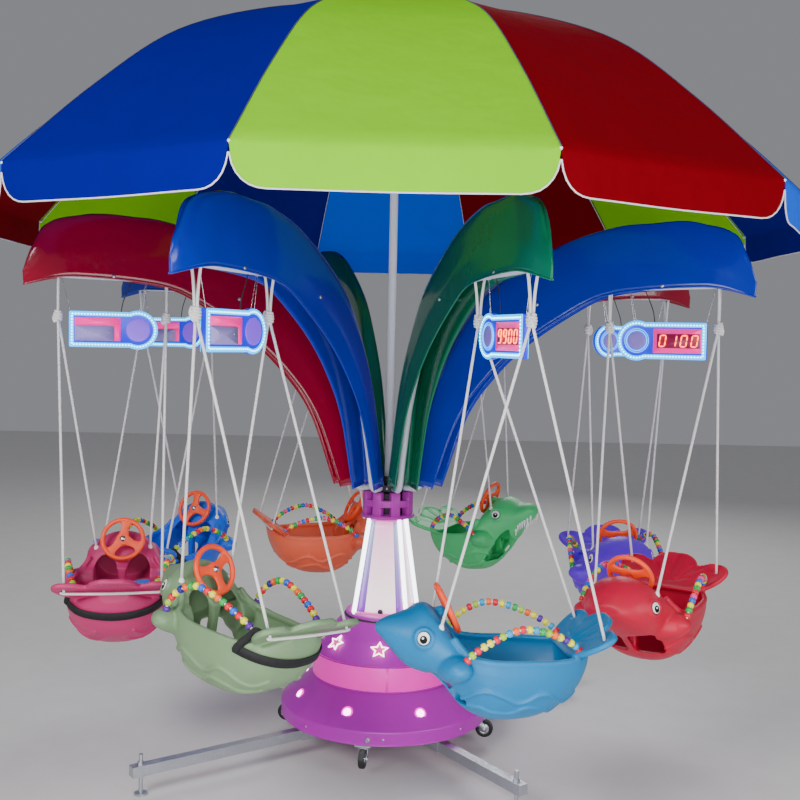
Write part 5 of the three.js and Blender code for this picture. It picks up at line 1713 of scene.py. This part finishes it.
half_thick = SIGN_THICK / 2
body_rows = [(0.0045, -half_thick + 0.003), (0.0012, -half_thick + 0.0012), (0.0, -half_thick + 0.0045),
             (0.0, half_thick - 0.0045), (0.0012, half_thick - 0.0012), (0.0045, half_thick - 0.003)]
sign_body = shell([np.array([(x, depth, SIGN_Z + z) for x, z in sign_outline(inset)]) for inset, depth in body_rows])


def ring_slab(outer, inner, low, high):
    """A raised border between two outlines on one face."""
    lines = [sign_outline(outer), sign_outline(outer + 0.0008), sign_outline(inner - 0.0008), sign_outline(inner)]
    depths = [low, high, high, low]
    rings = [[(x, depth, SIGN_Z + z) for (x, z), depth in zip(corner, depths)] for corner in zip(*lines)]
    rings.append(rings[0])
    return shell(rings, closed_ends=False)


face = -half_thick
borders = together(*(ring_slab(0.0005, 0.0185, s * (face + 0.003), s * (face + 0.0004)) for s in (1, -1)))
print("sign body points:", len(sign_body[0]))

# %% [markdown]
# The border lamps follow the outline, so a tree turns the outline into evenly spaced points and sets a small dome on each.

# %% Border lamps
def border_tree():
    tree, inside, out = new_tree("Lamps along a border", {"Spacing": 0.0115, "Lamp": 0.0032, "Material": "Material"})
    line = add_node(tree, "GeometryNodeMeshToCurve", Mesh=inside.outputs["Geometry"])
    spread = add_node(tree, "GeometryNodeResampleCurve", {"mode": "LENGTH"}, Curve=line.outputs[0],
                      Length=inside.outputs["Spacing"])
    ball = add_node(tree, "GeometryNodeMeshIcoSphere", Subdivisions=1, Radius=inside.outputs["Lamp"])
    form = add_node(tree, "GeometryNodeTransform", Geometry=ball.outputs[0], Scale=(1.0, 0.6, 1.0))
    copies = add_node(tree, "GeometryNodeInstanceOnPoints", Points=spread.outputs[0], Instance=form.outputs[0])
    end_tree(tree, copies.outputs[0], inside, out)
    return tree


BORDER = border_tree()


def border_seeds(name):
    points, edges = [], []
    for depth in (face - 0.0002, -face + 0.0002):
        line = sign_outline(0.011)
        start = len(points)
        points += [(x, depth, SIGN_Z + z) for x, z in line]
        edges += [(start + k, start + (k + 1) % len(line)) for k in range(len(line))]
    return set_down(name, new_mesh(name, points, edges=edges))


STROKES = {"0": "abcdef", "1": "bc", "2": "abged", "3": "abgcd", "4": "fgbc", "5": "afgcd", "6": "afgedc", "7": "abc",
           "8": "abcdefg", "9": "abcdfg"}


def digit(character, x, width, height, depth):
    """One number of seven strokes, leaning a little, on the face that looks along -Y."""
    half_w, half_h, pen = width / 2, height / 2, 0.0026
    ends = {"a": ((-1, 2), (1, 2)), "b": ((1, 2), (1, 1)), "c": ((1, 1), (1, 0)), "d": ((-1, 0), (1, 0)),
            "e": ((-1, 1), (-1, 0)),
            "f": ((-1, 2), (-1, 1)), "g": ((-1, 1), (1, 1))}
    shapes = []
    for stroke in STROKES[character]:
        (x0, y0), (x1, y1) = ends[stroke]
        a = np.array([x + x0 * half_w, depth, SIGN_Z + (y0 - 1) * half_h])
        b = np.array([x + x1 * half_w, depth, SIGN_Z + (y1 - 1) * half_h])
        way = unit(b - a)
        a, b = a + way * 0.0032, b - way * 0.0032
        for p in (a, b):
            p[0] += (p[2] - SIGN_Z) * 0.14
        shapes.append(pipe([a, (a + b) / 2, b], [pen * 0.7, pen, pen * 0.7], 6))
    return together(*shapes)


def rounded_plate(x0, x1, z0, z1, near, far, corner=0.004):
    outline = rounded([(x0, z0), (x1, z0), (x1, z1), (x0, z1)], corner, 4)
    rows = [np.array([(x, y, SIGN_Z + z) for x, z in outline]) for y in (near, (near + far) / 2, far)]
    return shell(rows)


def disc_plate(x, radius, near, far):
    rows = []
    for share, y in ((1.0, near), (1.0, far), (0.94, far + (far - near) * 0.15), (0.5, far + (far - near) * 0.1)):
        rows.append(np.array([(x + radius * share * cos(t), y, SIGN_Z + radius * share * sin(t))
                              for t in round_steps(32)]))
    return shell(rows)


def ring_line(x, radius, y, thick):
    return pipe([(x + radius * cos(t), y, SIGN_Z + radius * sin(t)) for t in np.linspace(0, 2 * pi, 33)], thick, 8,
                False)


NUMBERS = ["0100", "0100", "9900", "0100", "0100", "9900", "0100", "9900"]
SPEAKER_X = SIGN_INNER + SIGN_DISC
for i in range(ARMS):
    turn, body = arm_turn(i), "rotor"
    base = make_piece(f"sign_body_{i + 1}", *sign_body, sign_blue, body, turn)
    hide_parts(f"sign_{i + 1}")
    make_piece(f"sign_borders_{i + 1}", *borders, sign_rim, body, turn)
    grow(BORDER, f"sign_lamps_{i + 1}", {"Spacing": 0.0115, "Lamp": 0.0031, "Material": lamp_cyan}, body,
         border_seeds("border_seeds"), turn)
    front = together(disc_plate(SPEAKER_X, 0.034, face + 0.003, face - 0.0005))
    make_piece(f"speaker_{i + 1}", *front, sign_disc, body, turn)
    make_piece(f"speaker_ring_{i + 1}", *together(ring_line(SPEAKER_X, 0.0385, face + 0.0005, 0.0022),
                                                  ring_line(SPEAKER_X, 0.0455, face + 0.001, 0.0014)), sign_rim,
               body, turn)
    window = rounded_plate(1.118, 1.296, -0.046, 0.046, face + 0.004, face + 0.001, 0.003)
    make_piece(f"window_{i + 1}", *window, window_red, body, turn)
    dark = rounded_plate(1.132, 1.292, -0.027, 0.027, face + 0.003, face + 0.0003, 0.002)
    make_piece(f"window_field_{i + 1}", *dark, window_dark, body, turn)
    digits = [digit(c, 1.153 + 0.0395 * k, 0.021, 0.042, face - 0.0006) for k, c in enumerate(NUMBERS[i])]
    make_piece(f"digits_{i + 1}", *together(*digits), digit_red, body, turn)
    strips = together(rounded_plate(1.122, 1.294, 0.014, 0.046, -face - 0.004, -face - 0.0008, 0.003),
                      rounded_plate(1.122, 1.146, -0.044, 0.018, -face - 0.004, -face - 0.0006, 0.003))
    make_piece(f"back_strip_{i + 1}", *strips, window_red, body, turn)
    make_piece(f"back_disc_{i + 1}", *disc_plate(SPEAKER_X, 0.046, -face - 0.003, -face - 0.0002), sign_lilac, body,
               turn)
    plate = together(rounded_plate(1.146, 1.294, -0.045, 0.014, -face - 0.003, -face + 0.0006, 0.003))
    make_piece(f"back_plate_{i + 1}", *plate, plate_grey, body, turn)
    dots = [moved(dome(0.0032, 0.0018, 10, 3), x, -face + 0.0008, SIGN_Z - 0.011, (1, 0, 2)) for x in (1.166, 1.252)]
    wires = [pipe(np.linspace((low, y, SIGN_Z + 0.062), (high, y * 0.4, hang_z(high) - ARM_TUBE - 0.0008), 6),
                  0.0009, 6)
             for low, high, y in ((1.042, 1.02, 0.004), (1.308, 1.34, 0.004), (1.052, 1.024, -0.004))]
    hooks = [pipe([(high, (ARM_TUBE + 0.0012) * cos(t), hang_z(high) + (ARM_TUBE + 0.0012) * sin(t))
                   for t in np.linspace(0, 2 * pi, 17)], 0.0012, 6, False) for high in (1.02, 1.34)]
    make_piece(f"sign_wires_{i + 1}", *together(*wires, *hooks, *dots), chrome, body, turn)
    lead = smooth_line([(1.12, 0.0, SIGN_Z + 0.066), (1.112, 0.002, SIGN_Z + 0.11),
                        (1.095, 0.004, hang_z(1.09) - 0.05),
                        (1.08, 0.003, hang_z(1.08) - 0.0165)], 4)
    make_piece(f"sign_lead_{i + 1}", *pipe(lead, 0.0019, 8), black_plastic, body, turn)

# %% [markdown]
# ## Casters
# The four casters are swivel castors with a pressed fork, a grey rubber tyre and a nutted axle. Each is drawn once at its
# swivel and turned to its place.

# %% Casters
CASTER_RADIUS, TRAIL, AXLE_Z = 0.412, 0.028, 0.072


def wheel_turned(outline):
    return moved(turned_shape(outline, 40), CASTER_RADIUS + TRAIL, 0, AXLE_Z, (0, 2, 1))


tyre = wheel_turned(rounded([(0.0225, -0.0115), (0.0345, -0.012), (0.0375, -0.008), (0.0375, 0.008), (0.0345, 0.012),
                             (0.0225, 0.0115)], 0.003, 4))
core = wheel_turned(rounded([(0.0052, -0.0125), (0.012, -0.0125), (0.014, -0.007), (0.02, -0.006), (0.0228, -0.01),
                             (0.0228, 0.01), (0.02, 0.006), (0.014, 0.007), (0.012, 0.0125), (0.0052, 0.0125)],
                            0.0015, 3))
axle = pipe([(CASTER_RADIUS + TRAIL, y, AXLE_Z) for y in (-0.0195, -0.01, 0.01, 0.0195)], 0.0045, 12)
nuts = [(washer(0.0, 0.0075, 0.0045, 6)[0][:, [1, 0, 2]] * np.array([1, s, 1])
         + np.array([CASTER_RADIUS + TRAIL, s * 0.0168, AXLE_Z]),
         washer(0.003, 0.0075, 0.0045, 6)[1]) for s in (-1, 1)]


def fork_cheek(y):
    top = 0.1185
    outline = smooth_line([(-0.02, top - 0.004, 0), (-0.018, top - 0.02, 0), (-0.004, 0.09, 0),
                           (TRAIL - 0.012, 0.063, 0), (TRAIL, 0.0595, 0), (TRAIL + 0.011, 0.066, 0),
                           (TRAIL + 0.009, 0.082, 0), (0.022, 0.1, 0), (0.02, top - 0.004, 0)],
                          4)[:, :2]
    rows = [np.array([(CASTER_RADIUS + x, y + d, z) for x, z in outline]) for d in (-0.0014, 0.0014)]
    return shell(rows)


fork_top = [np.array([(CASTER_RADIUS + x * s, y * s, z)
                      for x, y in rounded([(-0.023, -0.0205), (0.023, -0.0205), (0.023, 0.0205),
                                           (-0.023, 0.0205)], 0.008, 4)])
            for z, s in ((0.1075, 0.96), (0.1085, 1.0), (0.1115, 1.0), (0.112, 0.97))]
race = turned_shape(rounded([(0.004, 0.112), (0.0195, 0.112), (0.021, 0.115), (0.0195, 0.1188), (0.004, 0.1188)],
                            0.0015, 3), 32)
race = moved(race, CASTER_RADIUS, 0, 0)
for k in range(4):
    turn, body = facing(-10.5 + 90 * k), f"caster_body_{k + 1}"
    fork = make_piece(f"caster_fork_{k + 1}", *together(fork_cheek(-0.0172), fork_cheek(0.0172), shell(fork_top),
                                                        race), zinc, body, turn)
    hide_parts(f"caster_{k + 1}")
    make_piece(f"caster_tyre_{k + 1}", *tyre, black_rubber, body, turn)
    make_piece(f"caster_core_{k + 1}", *together(core, axle, *nuts), chrome, body, turn)
print("casters:", 4)

# %% [markdown]
# ## Steel legs and sockets that stay as packed
# The sliding legs and the socket frame are plain square tubes, so their solids already look right and only need a finish.

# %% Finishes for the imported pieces
steel_names = ["base_frame", *(f"outrigger_{k}" for k in range(1, 5))]
for name in steel_names:
    packed_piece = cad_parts[name].data
    packed_piece.materials.clear()
    packed_piece.materials.append(zinc)
print("dressed", len(steel_names), "packed pieces")

# %% [markdown]
# ## Room for the picture
# A pale floor, a soft backdrop of light, and four large soft lamps. The camera stands where the photograph was taken
# from, about 4.4 metres in front of the axis and 1.7 metres up, and looks a little down.

# %% Floor, light and camera
floor_finish = finish("studio_floor", "#d8d6d4", 0.6, skin=(80.0, 0.1), dust=0.0, rubbing=0.02)
points = [(-14, -14, -0.0005), (14, -14, -0.0005), (14, 14, -0.0005), (-14, 14, -0.0005)]
floor = make_piece("studio_floor", points, [(0, 1, 2, 3)], floor_finish)
floor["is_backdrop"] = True
world = bpy.data.worlds.new("studio_air")
bpy.context.scene.world = world
world.use_nodes = True
world.node_tree.nodes["Background"].inputs["Color"].default_value = (0.8, 0.82, 0.88, 1)
world.node_tree.nodes["Background"].inputs["Strength"].default_value = 0.3


def soft_lamp(name, place, target, size, power):
    lamp = bpy.data.lights.new(name, "AREA")
    lamp.shape, lamp.size, lamp.energy = "DISK", size, power
    obj = set_down(name, lamp)
    obj.location = place
    obj.rotation_euler = (Vector(target) - Vector(place)).to_track_quat("-Z", "Y").to_euler()


soft_lamp("key_lamp", (-3.6, -5.2, 4.6), (0, 0, 1.2), 3.0, 330)
soft_lamp("fill_lamp", (4.8, -4.2, 2.6), (0, 0, 1.2), 3.0, 150)
soft_lamp("back_lamp", (1.5, 5.5, 4.5), (0, 0, 1.6), 3.0, 150)
soft_lamp("under_lamp", (0, -3.4, 0.9), (0, 0, 1.9), 2.2, 70)

yaw, pitch, roll = 0.0096, -0.0558, 0.0209
forward = Vector((sin(yaw) * cos(pitch), cos(yaw) * cos(pitch), sin(pitch)))
right = Vector((cos(yaw), -sin(yaw), 0))
upward = Vector((-sin(pitch) * sin(yaw), -sin(pitch) * cos(yaw), cos(pitch)))
camera_x = cos(roll) * right + sin(roll) * upward
camera_y = -sin(roll) * right + cos(roll) * upward
lens = bpy.data.cameras.new("photo_camera")
lens.sensor_width, lens.lens = 36.0, 46.58
camera = set_down("photo_camera", lens)
turn = Matrix((camera_x, camera_y, -forward)).transposed().to_4x4()
camera.matrix_world = Matrix.Translation((0, -4.4383, 1.7185)) @ turn
bpy.context.scene.camera = camera
print("camera at", [round(c, 2) for c in camera.location])

# %% [markdown]
# ## Dressed size
# The finer pieces stay inside the imported model's box. The dressed box's size is printed.

# %% Print the dressed size
low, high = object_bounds()
print("dressed size", [round(h - l, 3) for l, h in zip(low, high)])
